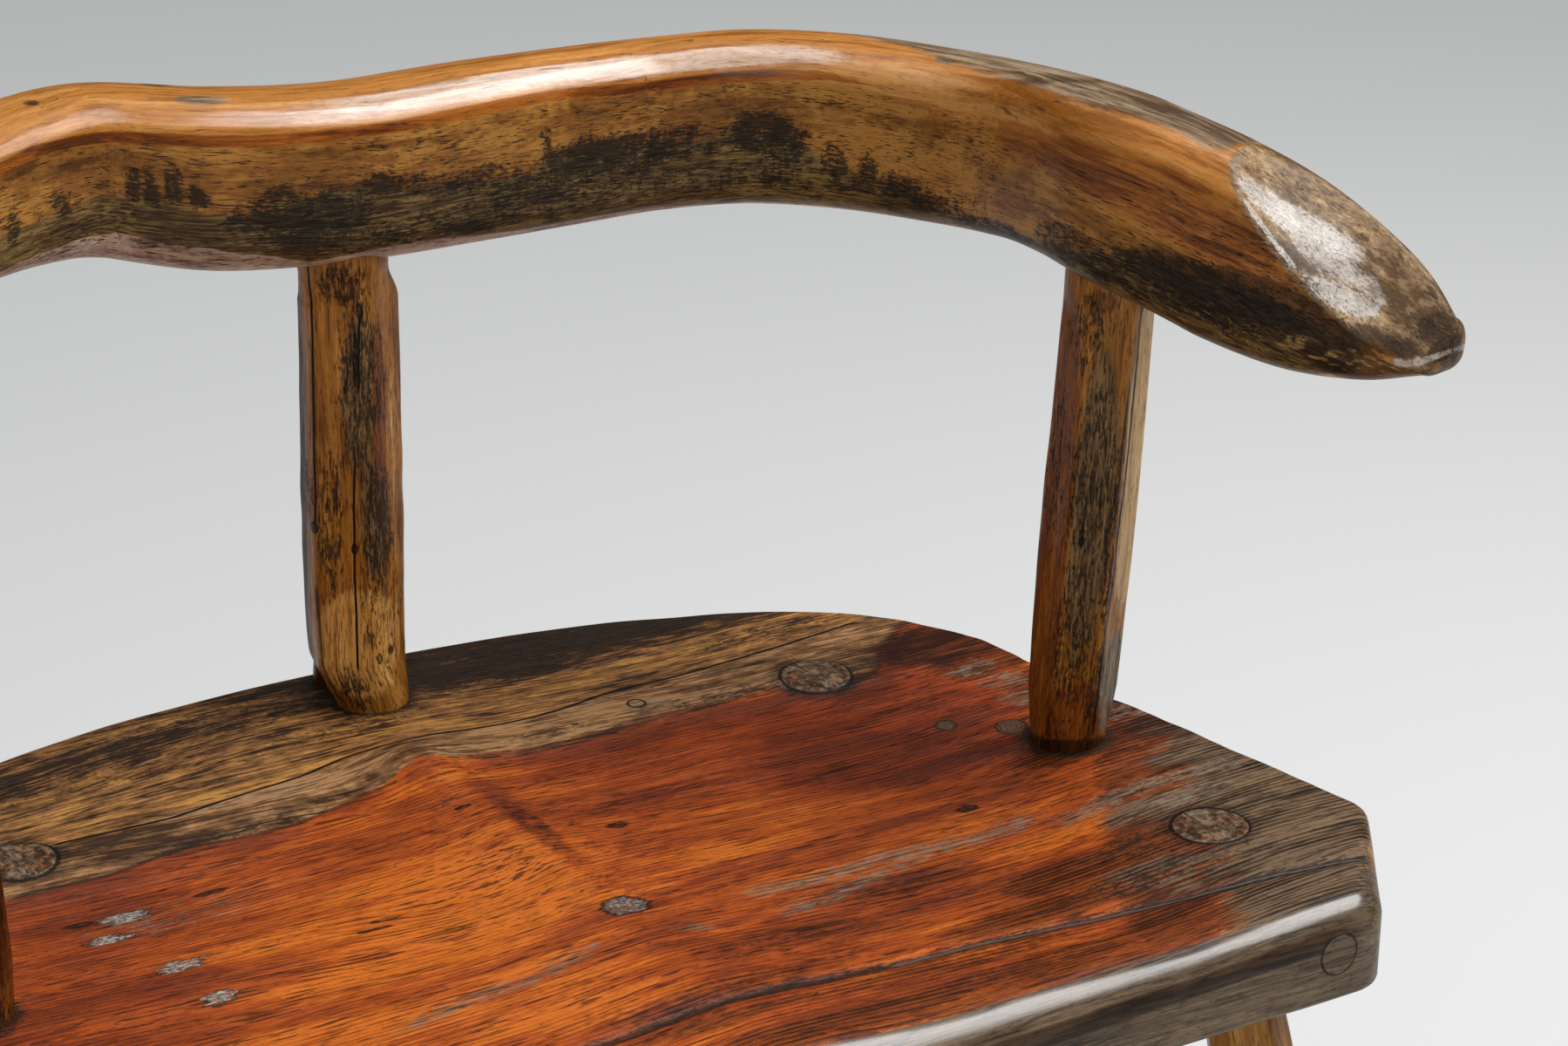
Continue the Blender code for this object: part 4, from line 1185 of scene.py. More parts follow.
SHEEN_ROUTES = (
    (((0.052, -0.165), (0.078, -0.169), (0.12, -0.165), (0.161, -0.17), (0.1975, -0.1665)), 0.0115, 0.62),
    (((0.057, -0.1886), (0.106, -0.178), (0.154, -0.1664)), 0.01, 0.56),
    (((0.195, -0.178), (0.244, -0.169), (0.306, -0.17)), 0.0125, 0.6),
    (((-0.1136, -0.1956), (-0.074, -0.188), (-0.049, -0.187), (-0.018, -0.179)), 0.009, 0.56),
    (((0.0105, -0.1823), (0.0311, -0.1841)), 0.008, 0.56),
)
STICK_FEET = (
    (0.2487, -0.1132, 0.016), (-0.2487, -0.1132, 0.016), (0.003, 0.074, 0.016), (-0.003, 0.1013, 0.0097),
)
SEAT_MARKS = (
    Mark(0.0052, -0.1554, 0.0094, 0.0078, MarkKind.GREY_KNOT, 2.2, 0.8, 0.17),
    Mark(-0.1676, -0.0589, 0.0095, 0.0048, MarkKind.PIT, 4.8, 0.7, 0.15),
    Mark(-0.185, -0.057, 0.0046, 0.0022, MarkKind.DARK_KNOT, 4.6, 0.8),
    Mark(-0.1791, -0.0744, 0.01, 0.0032, MarkKind.PIT, 5.4, 0.8, 0.15),
    Mark(-0.1642, -0.1086, 0.012, 0.004, MarkKind.PIT, 5.4, 0.85, 0.15),
    Mark(-0.1608, -0.1404, 0.007, 0.0042, MarkKind.PIT, 4.2, 0.75, 0.15),
    Mark(0.2123, -0.0721, 0.0044, 0.0046, MarkKind.RING_KNOT, 1.0, 0.45, 0.2),
    Mark(0.2347, -0.0903, 0.0068, 0.007, MarkKind.RING_KNOT, 1.0, 0.45, 0.16),
    Mark(0.1035, 0.0132, 0.004, 0.0036, MarkKind.OUTLINE, 0.2),
    Mark(0.0388, -0.0875, 0.0046, 0.0022, MarkKind.DARK_KNOT, 3.0, 0.4),
    Mark(0.1754, -0.1451, 0.005, 0.0026, MarkKind.DARK_KNOT, 3.0, 0.4),
    Mark(-0.0797, -0.1124, 0.006, 0.0014, MarkKind.DARK_KNOT, 4.0, 0.3),
    Mark(-0.0861, -0.118, 0.0066, 0.0012, MarkKind.DARK_KNOT, 4.0, 0.3),
    Mark(-0.011, -0.044, 0.003, 0.0016, MarkKind.DARK_KNOT, 4.0, 0.3),
    Mark(-0.129, -0.056, 0.006, 0.0016, MarkKind.DARK_KNOT, 5.0, 0.3),
    *(Mark(x, y, 0.0164, 0.0164, MarkKind.OUTLINE, 0.16, edge=0.085) for _, x, y, _, _ in LEGS),
    *(Mark(x, y, 0.0188, 0.0186, MarkKind.FAINT, 0.4, edge=0.2) for _, x, y, _, _ in LEGS),
)
SEAT_CREASES = (
    Crease(CRACK_ROUTE, 0.001, 1.0, sway=0.0004), Crease(GROOVE_ROUTE, 0.003, 0.5, "241A14", 0.0006, 0.8),
    # The thin grey line along the right part of the groove is a painted glint on its edge.
    Crease(GROOVE_ROUTE[2:], 0.0009, 0.3, "6A6760", 0.0006, 0.55),
    # A dark line along the back edge of the worn dish: the painted shadow of its small step.
    Crease(Seat.worn_back[1:7], 0.0018, 0.2, "2A1A10", 0.0009, 0.6),
)


@dataclass
class ArmBow:
    """One naturally bent branch that makes both arms and the low back rail."""

    depth: float = 0.058
    height: float = 0.074
    rise: float = 0.207
    back_y: float = 0.084
    side_x: float = 0.26
    nose: float = 0.006
    nose_squareness: float = 2.6
    plane_from: tuple[float, float] = (0.466, 0.48)     # where the planing of a nose starts, along the branch
    plane_reach: float = 0.55   # how far over the nose its planed shoulder goes, as a share of half its depth
    plane_softness: float = 0.0009
    rows: int = 780
    cap_rows: int = 10
    columns: int = 120

    def stations(self) -> Array:
        """The branch's stations from the left nose to the right one: x, y, z, depth and height."""
        left = [(-self.side_x - out, -ahead, *rest) for out, ahead, *rest in reversed(LEFT_ARM)]
        back = [(x, self.back_y + behind, *rest) for x, behind, *rest in BACK_RAIL]
        right = [(self.side_x + out, -ahead, *rest) for out, ahead, *rest in RIGHT_ARM]
        level = (0.0, 0.0, BENCH.seat_top + self.rise + self.height / 2.0, self.depth, self.height)
        return np.array(left + back + right) + level

    def crossing(self, side: float, y: float) -> Array:
        """The branch's values where its middle line passes a Y on one side, or the middle of the back.

        Args:
            side: 1 for the right arm, -1 for the left one, 0 for the back.
            y: Where a side arm is crossed, from the back leg line.

        Returns:
            x, y, z, depth and height.
        """
        stations = self.stations()
        value = smooth_curve(stations, np.linspace(0.0, len(stations) - 1.0, 20001))
        if side == 0.0:
            return value[np.argmin(np.abs(value[:, 0]))]
        own = value[value[:, 0] * side > 0.5 * self.side_x]
        return own[np.argmin(np.abs(own[:, 1] - y))]

    def surface(self) -> tuple[Array, Array, Array]:
        """Carry the section along the branch, and close each nose with a blunt squarish cap.

        Returns:
            The points, the distance along the branch from its middle, and the section's outward and upward
            metres.
        """
        stations = self.stations()
        last = len(stations) - 1
        value = smooth_curve(stations, np.linspace(0.0, last, self.rows))
        way = np.gradient(value[:, :2], axis=0)
        way /= np.linalg.norm(way, axis=1)[:, None]
        cap = np.sin(np.linspace(0.0, math.pi / 2.0, self.cap_rows + 1)[1:])
        cap[-1] = 0.995
        shrink = (1.0 - cap ** self.nose_squareness) ** (1.0 / self.nose_squareness)
        value = np.pad(value, ((self.cap_rows, self.cap_rows), (0, 0)), "edge")
        way = np.pad(way, ((self.cap_rows, self.cap_rows), (0, 0)), "edge")
        shares = np.concatenate([shrink[::-1], np.ones(self.rows), shrink])
        ahead = np.concatenate([-cap[::-1], np.zeros(self.rows), cap]) * self.nose
        section = smooth_curve(
            np.array(ARM_SECTION), np.linspace(0.0, len(ARM_SECTION), self.columns, endpoint=False), True,
        )
        out = section[None, :, 0] * (value[:, 3] * shares)[:, None] / 2.0
        up = section[None, :, 1] * (value[:, 4] * shares)[:, None] / 2.0
        out, up = self.plane_nose(out, up, value, shares)
        x = value[:, 0, None] - way[:, 1, None] * out + (way[:, 0] * ahead)[:, None]
        y = value[:, 1, None] + way[:, 0, None] * out + (way[:, 1] * ahead)[:, None]
        z = value[:, 2, None] + up
        points = np.stack([x, y, z], axis=-1)
        step = np.linalg.norm(np.diff(value[:, :3], axis=0), axis=1)
        length = np.concatenate([[0.0], np.cumsum(step)]) + ahead
        length -= np.interp(0.0, value[:, 0], length)
        along = np.broadcast_to(length[:, None], out.shape)
        return points, along, np.stack([out, up], axis=-1)

    def plane_nose(self, out: Array, up: Array, value: Array, shares: Array) -> tuple[Array, Array]:
        """Plane the inner shoulder off each nose: what lies over a slanting line in the section goes.

        Args:
            out: Metres outward in the section.
            up: Metres upward in it.
            value: The branch's x, y, z, depth and height at each ring.
            shares: How far each ring is shrunk.

        Returns:
            The planed section.
        """
        step = np.linalg.norm(np.diff(value[:, :3], axis=0), axis=1)
        length = np.concatenate([[0.0], np.cumsum(step)])
        length = np.abs(length - np.interp(0.0, value[:, 0], length))
        line = np.array(RIDGE_LINE)[::-1]
        low = np.interp(length, line[:, 1], line[:, 0])[:, None]
        half_out = (value[:, 3] * shares / 2.0)[:, None]
        half_up = (value[:, 4] * shares / 2.0)[:, None]
        one, two = half_up - low, half_out * (1.0 + self.plane_reach)
        size = np.hypot(one, two)
        over = ((out + half_out) * -one + (up - low) * two) / size
        amount = soft_step(length, *self.plane_from)[:, None]
        taken = self.plane_softness * np.logaddexp(0.0, over / self.plane_softness) * amount
        return out + taken * one / size, up - taken * two / size

    def build(self) -> bpy.types.Object:
        """Make the branch."""
        points, along, section = self.surface()
        piece = BENCH.piece("arm_branch", points, self.masks(points, along, section), "arm_bow", "arm")
        piece.data.materials.append(ARM_WOOD.material())
        return piece

    def masks(self, points: Array, along: Array, section: Array) -> dict[str, Array]:
        """Where the branch is rubbed, tan, smoked, weathered or painted with highlights, from its own length
        and section.

        Args:
            points: Not used.
            along: Metres along it from the middle of the back.
            section: Metres outward from the sitter and upward in its section.

        Returns:
            The masks by name, with the bent grain.
        """
        out, up = section[..., 0], section[..., 1]
        arris = line_at(along, ARRIS_LINE)
        bevel_top = line_at(along, BEVEL_LINE)
        smoke_top = line_at(along, SMOKE_LINE)
        over = soft_step(along, 0.33, 0.41)
        facing = soft_step(out, -0.018, -0.024)
        tan = facing * soft_step(up - arris - 0.005 * over, 0.0012, -0.0012)
        fade = soft_step(along, 0.19, 0.3) * 0.75
        ridge = line_at(up, RIDGE_LINE)
        nose = soft_step(np.abs(along) - ridge, -0.008, 0.002)
        band = beside(along, up - arris, ((-0.62, 0.0022), (0.4, 0.0022)), 0.0046) * facing * (1.0 - fade)
        gold = spots(along, up, GOLD_SPOTS) * 0.75
        rust = spots(along, up, RUST_SPOTS) * facing * (1.0 - nose)
        olive = facing * soft_step(up - smoke_top, 0.0035, -0.0055) * 0.85
        beneath = soft_step(up, -0.024, -0.034) * soft_step(along, 0.3, 0.42)
        olive = np.maximum(olive, beneath * 0.9) * (1.0 - nose)
        bevel = soft_step(up - bevel_top, 0.001, -0.001) * soft_step(out, 0.016, -0.01)
        bevel = bevel * soft_step(along, 0.33, 0.2)
        grey_edge = line_at(along, GREY_LINE)
        grey = soft_step(out - grey_edge, -0.012, 0.014) * soft_step(up, -0.005, 0.02) * 0.86
        grey = np.maximum(grey, spots(along, out, TOP_GREY) * soft_step(up, 0.015, 0.025)) * (1.0 - nose)
        dirt = spots(along, up, np.array(SOOT_SPOTS) * (1.0, 1.0, 1.35, 1.35, 1.0)) * facing
        dirt = np.maximum(
            dirt, spots(along, out, TOP_KNOTS) * soft_step(up, 0.015, 0.025),
        ) * (1.0 - bevel * 0.75)
        right_nose = nose * soft_step(along, 0.4, 0.44)
        umber = spots(along, up, UMBER_SPOTS) * soft_step(out, 0.012, 0.004)
        # Pale highlights painted on the planed right nose, and a pale worn edge along its tip.
        scuff_and_painted_highlight = spots(along, out, NOSE_HIGHLIGHT_SPOTS) * right_nose
        for route, width, strength in NOSE_HIGHLIGHT_ROUTES:
            scuff_and_painted_highlight = np.maximum(scuff_and_painted_highlight, strength * beside(along, out, route, width) * right_nose)
        scuff_and_painted_highlight = np.maximum(scuff_and_painted_highlight, 0.85 * beside(along, up, TIP_EDGE, 0.0032))
        # Along the rounded inner top edge the coat is strongest, and a near-white highlight is painted there
        # too.
        highlight_band = beside(along, up - arris, ((-0.6, 0.0108), (0.34, 0.0108)), 0.0096)
        highlight_band = highlight_band * soft_step(out, -0.013, -0.021)
        rub_and_painted_highlight = highlight_band * soft_step(along, -0.15, 0.06) * soft_step(along, 0.3, 0.2) * 0.86
        shine = highlight_band * (0.28 + 0.72 * soft_step(along, -0.11, 0.04)) * (1.0 - grey) * (1.0 - nose)
        shine = np.maximum(shine, 0.55 * scuff_and_painted_highlight)
        deep = 0.9 * nose * soft_step(along, 0.535, 0.566) + 0.9 * grey * soft_step(along, 0.35, 0.42)
        deep = deep - spots(along, up, LIT_SPOTS)
        checks = np.maximum(facing * soft_step(up - arris, 0.004, -0.004), 0.5 * nose)
        grain = np.stack([along, out, up], axis=-1)
        return {
            "grain": grain, "tan": tan * 0.95, "arris": band, "gold": gold, "rust": rust, "olive": olive,
            "grey": grey, "nose": nose * 0.9, "umber": umber, "rub_and_painted_highlight": rub_and_painted_highlight, "scuff_and_painted_highlight": scuff_and_painted_highlight,
            "bevel": bevel * 0.95, "dirt": dirt, "deep": deep, "shine": shine, "checks": checks,
        }


# Lines along the branch: metres from the middle of the back, and metres over its middle
ARRIS_LINE = (
    (-0.62, 0.018), (-0.18, 0.0165), (-0.162, 0.018), (-0.12, 0.0172), (-0.08, 0.0198), (-0.043, 0.02),
    (0.0, 0.0215), (0.045, 0.0225), (0.09, 0.0238), (0.13, 0.0212), (0.183, 0.0212), (0.217, 0.0226),
    (0.24, 0.0228), (0.266, 0.022), (0.295, 0.0195), (0.321, 0.0167), (0.342, 0.014), (0.391, 0.014),
    (0.421, 0.015), (0.449, 0.0185), (0.475, 0.0214), (0.62, 0.0214),
)
BEVEL_LINE = (
    (-0.62, -0.022), (-0.183, -0.0224), (-0.141, -0.0205), (-0.11, -0.02), (-0.09, -0.0207),
    (-0.0715, -0.0225), (-0.048, -0.0265), (-0.0287, -0.0315), (-0.01, -0.029), (0.004, -0.0275),
    (0.027, -0.0275), (0.05, -0.03), (0.073, -0.0322), (0.119, -0.0318), (0.159, -0.0338), (0.196, -0.0345),
    (0.242, -0.0345), (0.291, -0.035), (0.358, -0.0355), (0.62, -0.036),
)
SMOKE_LINE = (
    (-0.62, -0.006), (-0.174, -0.0055), (-0.155, -0.0055), (-0.136, -0.0028), (-0.1, -0.0025),
    (-0.078, -0.0034), (-0.0645, -0.0072), (-0.05, -0.006), (-0.043, -0.0028), (-0.0187, 0.0008),
    (0.019, -0.002), (0.05, -0.004), (0.075, -0.006), (0.088, 0.001), (0.13, 0.0), (0.165, -0.002),
    (0.185, 0.0), (0.215, 0.0), (0.228, -0.006), (0.24, -0.012), (0.26, -0.0135), (0.285, -0.018),
    (0.315, -0.0245), (0.34, -0.028), (0.37, -0.027), (0.407, -0.0215), (0.429, -0.015), (0.45, -0.011),
    (0.476, -0.007), (0.5, -0.006), (0.53, -0.005), (0.62, -0.005),
)
# Where the grey of the right arm's top begins, outward from its middle
GREY_LINE = (
    (-0.62, 0.06), (0.1, 0.06), (0.2, 0.014), (0.255, -0.006), (0.3, -0.018), (0.363, -0.0225),
    (0.402, -0.0225), (0.439, -0.0205), (0.4765, -0.017), (0.5, -0.012), (0.62, -0.01),
)
# The ridge of the planed nose: height over the branch's middle, and metres from the middle of the back
RIDGE_LINE = (
    (-0.04, 0.6), (-0.012, 0.575), (-0.0046, 0.556), (-0.0044, 0.54), (0.003, 0.5201), (0.0099, 0.5086),
    (0.0172, 0.4971), (0.0254, 0.4869), (0.0335, 0.4783), (0.042, 0.47),
)
RUST_SPOTS = (
    (0.33, 0.015, 0.05, 0.007, 0.5), (0.391, 0.013, 0.05, 0.011, 0.72), (0.425, 0.014, 0.04, 0.014, 0.84),
    (0.455, 0.014, 0.04, 0.018, 0.92), (0.485, 0.008, 0.03, 0.016, 0.92), (0.29, 0.0185, 0.04, 0.004, 0.5),
    (0.38, 0.027, 0.09, 0.004, 0.45), (0.43, -0.034, 0.02, 0.003, 0.6),
)
# The nose: gold streaks and dark places by their height, painted pale highlights by their way outward
GOLD_SPOTS = (
    (0.533, -0.0145, 0.03, 0.0011, 0.9), (0.509, -0.0206, 0.035, 0.0012, 0.9),
    (0.52, -0.0175, 0.034, 0.0008, 0.85), (0.548, -0.011, 0.018, 0.001, 0.85),
    (0.475, -0.027, 0.03, 0.0012, 0.8), (0.502, -0.0035, 0.012, 0.0008, 0.8),
)
UMBER_SPOTS = (
    (0.564, 0.006, 0.01, 0.009, 0.62), (0.559, -0.0028, 0.0065, 0.0045, 0.62),
    (0.515, -0.008, 0.045, 0.0085, 0.92), (0.545, -0.0045, 0.019, 0.006, 0.66),
    (0.5, -0.006, 0.035, 0.011, 0.94), (0.53, -0.017, 0.04, 0.007, 0.74), (0.465, -0.012, 0.04, 0.011, 0.84),
    (0.57, 0.0, 0.006, 0.008, 0.7), (0.556, -0.02, 0.045, 0.013, 0.9),
)
NOSE_HIGHLIGHT_SPOTS = ((0.506, -0.018, 0.008, 0.003, 0.55), (0.536, -0.008, 0.01, 0.004, 0.6))
NOSE_HIGHLIGHT_ROUTES = (
    (
        ((0.478, -0.0215), (0.4862, -0.0178), (0.4983, -0.0127), (0.5114, -0.0079), (0.527, -0.004)), 0.0115,
        1.0,
    ),
    (((0.483, -0.027), (0.4956, -0.0262), (0.509, -0.0256)), 0.0026, 0.95),
    (((0.513, -0.024), (0.5293, -0.0178), (0.543, -0.011)), 0.0085, 0.9),
    (((0.503, -0.019), (0.52, -0.0125), (0.538, -0.006)), 0.01, 0.62),
)
# Where painted light turns the tan wood golden: metres along the branch and over its middle
LIT_SPOTS = (
    (0.27, 0.022, 0.06, 0.011, 1.3), (0.35, 0.018, 0.06, 0.009, 1.2), (0.285, -0.004, 0.06, 0.015, 1.1),
    (0.33, -0.014, 0.05, 0.012, 1.0), (0.24, 0.008, 0.05, 0.01, 0.5), (0.37, 0.0, 0.04, 0.01, 0.9),
    (-0.165, 0.006, 0.04, 0.009, 0.9), (-0.11, 0.01, 0.03, 0.006, 0.4),
)
TIP_EDGE = ((0.556, -0.0086), (0.561, -0.0076), (0.568, -0.0037), (0.5725, -0.001))
SOOT_SPOTS = (
    (-0.0965, 0.0015, 0.0045, 0.007, 0.95), (-0.0885, 0.001, 0.0038, 0.0068, 0.95),
    (-0.079, 0.003, 0.0032, 0.009, 0.95), (-0.0715, -0.0005, 0.0022, 0.0052, 0.9),
    (-0.0685, -0.0015, 0.0022, 0.0036, 0.9), (-0.148, -0.003, 0.005, 0.006, 0.75),
    (-0.1777, -0.006, 0.004, 0.007, 0.72), (-0.0433, -0.001, 0.007, 0.0045, 0.8),
    (0.003, 0.0005, 0.012, 0.0042, 0.92), (0.0191, -0.001, 0.006, 0.0045, 0.8),
    (-0.027, -0.012, 0.026, 0.011, 0.88), (-0.0552, -0.012, 0.008, 0.007, 0.72),
    (0.045, -0.004, 0.03, 0.005, 0.66), (0.0837, 0.002, 0.003, 0.009, 0.75),
    (0.108, -0.004, 0.026, 0.0085, 0.98), (0.135, -0.008, 0.022, 0.006, 0.8),
    (0.145, 0.0005, 0.025, 0.0036, 0.8), (0.08, -0.013, 0.03, 0.007, 0.75),
    (0.168, -0.006, 0.014, 0.0042, 0.62), (0.203, -0.001, 0.019, 0.0088, 0.98),
    (0.215, -0.006, 0.014, 0.008, 0.8), (0.242, -0.012, 0.007, 0.007, 0.85),
    (0.26, -0.013, 0.0055, 0.0065, 0.8), (0.28, -0.018, 0.016, 0.0048, 0.74),
    (0.305, -0.0235, 0.018, 0.0042, 0.74), (0.35, -0.029, 0.035, 0.004, 0.8),
    (0.2, -0.02, 0.13, 0.006, 0.46), (0.02, -0.021, 0.07, 0.007, 0.55), (0.425, -0.025, 0.03, 0.008, 0.7),
    (0.46, -0.018, 0.035, 0.009, 0.85), (0.495, -0.01, 0.022, 0.007, 0.92),
    (0.41, -0.018, 0.016, 0.006, 0.55), (0.478, -0.008, 0.02, 0.006, 0.9),
)
# Knots and a grey patch on the branch's top: metres along it and outward
TOP_KNOTS = ((-0.14, -0.008, 0.0035, 0.0045, 0.98), (-0.079, 0.006, 0.008, 0.006, 0.98))
TOP_GREY = ((-0.065, -0.017, 0.014, 0.006, 0.66), (0.295, -0.014, 0.008, 0.004, 0.8))


ARM_SECTION = (
    (-1.0, 0.6), (-0.86, 0.82), (-0.6, 0.95), (-0.25, 1.0), (0.15, 0.98), (0.55, 0.88), (0.85, 0.62),
    (1.0, 0.2), (1.0, -0.3), (0.85, -0.72), (0.5, -0.95), (0.0, -1.0), (-0.5, -1.0), (-0.85, -0.88),
    (-1.0, -0.65), (-1.03, 0.0),
)
# Stations along the back rail: across, behind its middle line, above the arm's level, gain in depth and
# in height
BACK_RAIL = (
    (-0.225, -0.044, 0.008, -0.002, -0.014), (-0.188, -0.022, 0.011, 0.0, -0.015),
    (-0.148, -0.002, 0.013, 0.003, -0.011), (-0.109, 0.008, 0.012, 0.004, -0.005),
    (-0.058, -0.001, 0.004, 0.006, 0.0), (0.0, 0.0, -0.001, 0.008, -0.001),
    (0.06, 0.002, -0.001, 0.004, 0.001), (0.11, 0.003, -0.001, 0.0, 0.001), (0.15, -0.001, 0.0, -0.001, 0.0),
    (0.19, -0.017, 0.002, -0.002, 0.001), (0.225, -0.046, 0.002, -0.001, 0.001),
)
# Stations along an arm from the bend to the nose: outside its line, forward, then as above
RIGHT_ARM = (
    (-0.008, 0.0, 0.001, 0.0, 0.0), (0.004, 0.045, 0.003, 0.0, -0.001), (0.001, 0.09, 0.007, -0.001, 0.0),
    (0.001, 0.132, 0.006, 0.001, 0.004), (0.017, 0.167, -0.004, 0.002, 0.007),
    (0.033, 0.203, -0.014, -0.002, 0.0), (0.046, 0.237, -0.023, -0.014, -0.022),
    (0.051, 0.263, -0.03, -0.032, -0.051),
)
LEFT_ARM = (
    (-0.01, 0.0, 0.005, 0.0, -0.008), (0.001, 0.045, 0.004, 0.001, -0.004),
    (0.004, 0.09, 0.006, 0.0, -0.001), (0.009, 0.132, 0.005, 0.0, 0.002),
    (0.021, 0.167, -0.003, 0.001, 0.005), (0.035, 0.203, -0.013, -0.003, -0.001),
    (0.047, 0.237, -0.022, -0.014, -0.021), (0.053, 0.261, -0.028, -0.033, -0.052),
)


@dataclass(frozen=True)
class Facet:
    """A flat that the drawknife left, and the way it faces in degrees from the rod's front."""

    facing: float
    share: float                # its distance from the middle, as a share of the radius


@dataclass(frozen=True)
class Patch:
    """A soft ellipse of one mask on a rod's front, in metres across the front and over the floor."""

    mask: str
    across: float
    height: float
    half_across: float
    half_height: float
    strength: float
    behind: float = 0.0         # its strength on the sides and the back


def patch_table(**tables: Sequence[Sequence[float]]) -> tuple[Patch, ...]:
    """Patches of several masks, from a table for each."""
    return tuple(Patch(mask, *row) for mask, rows in tables.items() for row in rows)


@dataclass
class Rod:
    """A shaved stick or leg: rings along a straight line, each flattened by facets and strayed by a bow."""

    name: str
    node: str
    slot: str
    finish: WoodFinish
    foot: tuple[float, float, float]
    head: tuple[float, float, float]
    # For each ring: height, radius, share of the shaved shape, sideways stray in X and in Y
    stack: tuple[tuple[float, float, float, float, float], ...]
    facets: tuple[Facet, ...] = ()
    flatness: float = 1.0
    crispness: float = 45.0     # of the edges between facets
    rounding: float = 0.6       # how much the radius runs in curves, not straight, between rings
    wave_heights: tuple[float, float] = (0.00035, 0.00012)
    front: float = -121.0       # the plan angle of its front, which is the side towards the camera
    seed: int = 1
    rows: int = 260
    columns: int = 96
    marks: tuple[Mark, ...] = ()
    creases: tuple[Crease, ...] = ()
    patches: tuple[Patch, ...] = ()

    def section(self, angle: Array) -> Array:
        """Radius at each angle from the front, as a share: the nearest facet plane, softly, or the round."""
        planes = [np.full_like(angle, 1.0)]
        for facet in self.facets:
            gap = np.cos(angle - math.radians(facet.facing))
            planes.append(np.where(gap > 0.3, facet.share / np.maximum(gap, 0.3), 9.0))
        return -np.log(np.exp(-self.crispness * np.array(planes)).sum(0)) / self.crispness

    def centre(self, height: Array) -> Array:
        """Where the straight line between foot and head passes each height."""
        foot, head = np.array(self.foot), np.array(self.head)
        return foot[:2] + (head - foot)[:2] * ((height - foot[2]) / (head[2] - foot[2]))[:, None]

    def surface(self) -> tuple[Array, Array]:
        """Carry the section up the line.

        Returns:
            The points, and each one's place from the rod's middle.
        """
        stack = np.array(self.stack)
        knots = stack[:, 0]
        height = np.linspace(knots[0], knots[-1], self.rows)
        height = np.sort(np.concatenate([height, knots[1:-1]]))
        values = smooth_curve(stack[:, 1:], np.interp(height, knots, np.arange(len(knots), dtype=float)))
        radius = np.interp(height, knots, stack[:, 1])
        radius = radius * (1.0 - self.rounding) + values[:, 0] * self.rounding
        shaved = np.clip(values[:, 1], 0.0, 1.0)
        middle = self.centre(height) + values[:, 2:4]
        angle = np.linspace(0.0, 2.0 * math.pi, self.columns, endpoint=False)
        reach = radius[:, None] * (1.0 + (self.section(angle)[None, :] - 1.0) * shaved[:, None])
        turned = angle + math.radians(self.front)
        thin = 1.0 + (self.flatness - 1.0) * shaved
        side_x = reach * np.cos(turned)
        side_y = reach * np.sin(turned) * thin[:, None]
        level = np.broadcast_to(height[:, None], side_x.shape)
        points = np.stack([middle[:, 0, None] + side_x, middle[:, 1, None] + side_y, level], axis=-1)
        broad, fine = self.wave_heights
        wave = broad * ripple(points, (0.03, 0.03, 0.16), self.seed)
        wave += fine * ripple(points, (0.01, 0.01, 0.03), self.seed + 50)
        outward = np.stack([np.cos(turned), np.sin(turned), turned * 0.0], axis=-1)
        points = points + (wave * shaved[:, None])[..., None] * outward
        return points, np.stack([side_x, side_y], axis=-1)

    def build(self) -> bpy.types.Object:
        """Make the rod, with its grain measured up its length, across its front and back from it."""
        points, side = self.surface()
        turn = math.radians(self.front)
        deep = -(side[..., 0] * math.cos(turn) + side[..., 1] * math.sin(turn))
        across = -side[..., 0] * math.sin(turn) + side[..., 1] * math.cos(turn)
        height = points[..., 2]
        grain = np.stack([height, across, deep], axis=-1)
        masks = {
            "grain": grain, "plan": grain, "face": soft_step(deep, 0.004, 0.0), "checks": 0.0 * height + 0.7,
        }
        for patch in self.patches:
            table = ((patch.across, patch.height, patch.half_across, patch.half_height, 1.0),)
            spot = spots(across, height, table)
            spot = spot * (masks["face"] * (patch.strength - patch.behind) + patch.behind)
            masks[patch.mask] = np.maximum(masks.get(patch.mask, 0.0 * height), spot)
        piece = BENCH.piece(self.name, points, masks, self.node, self.slot)
        piece.data.materials.append(self.finish.material(self.marks, self.creases))
        return piece


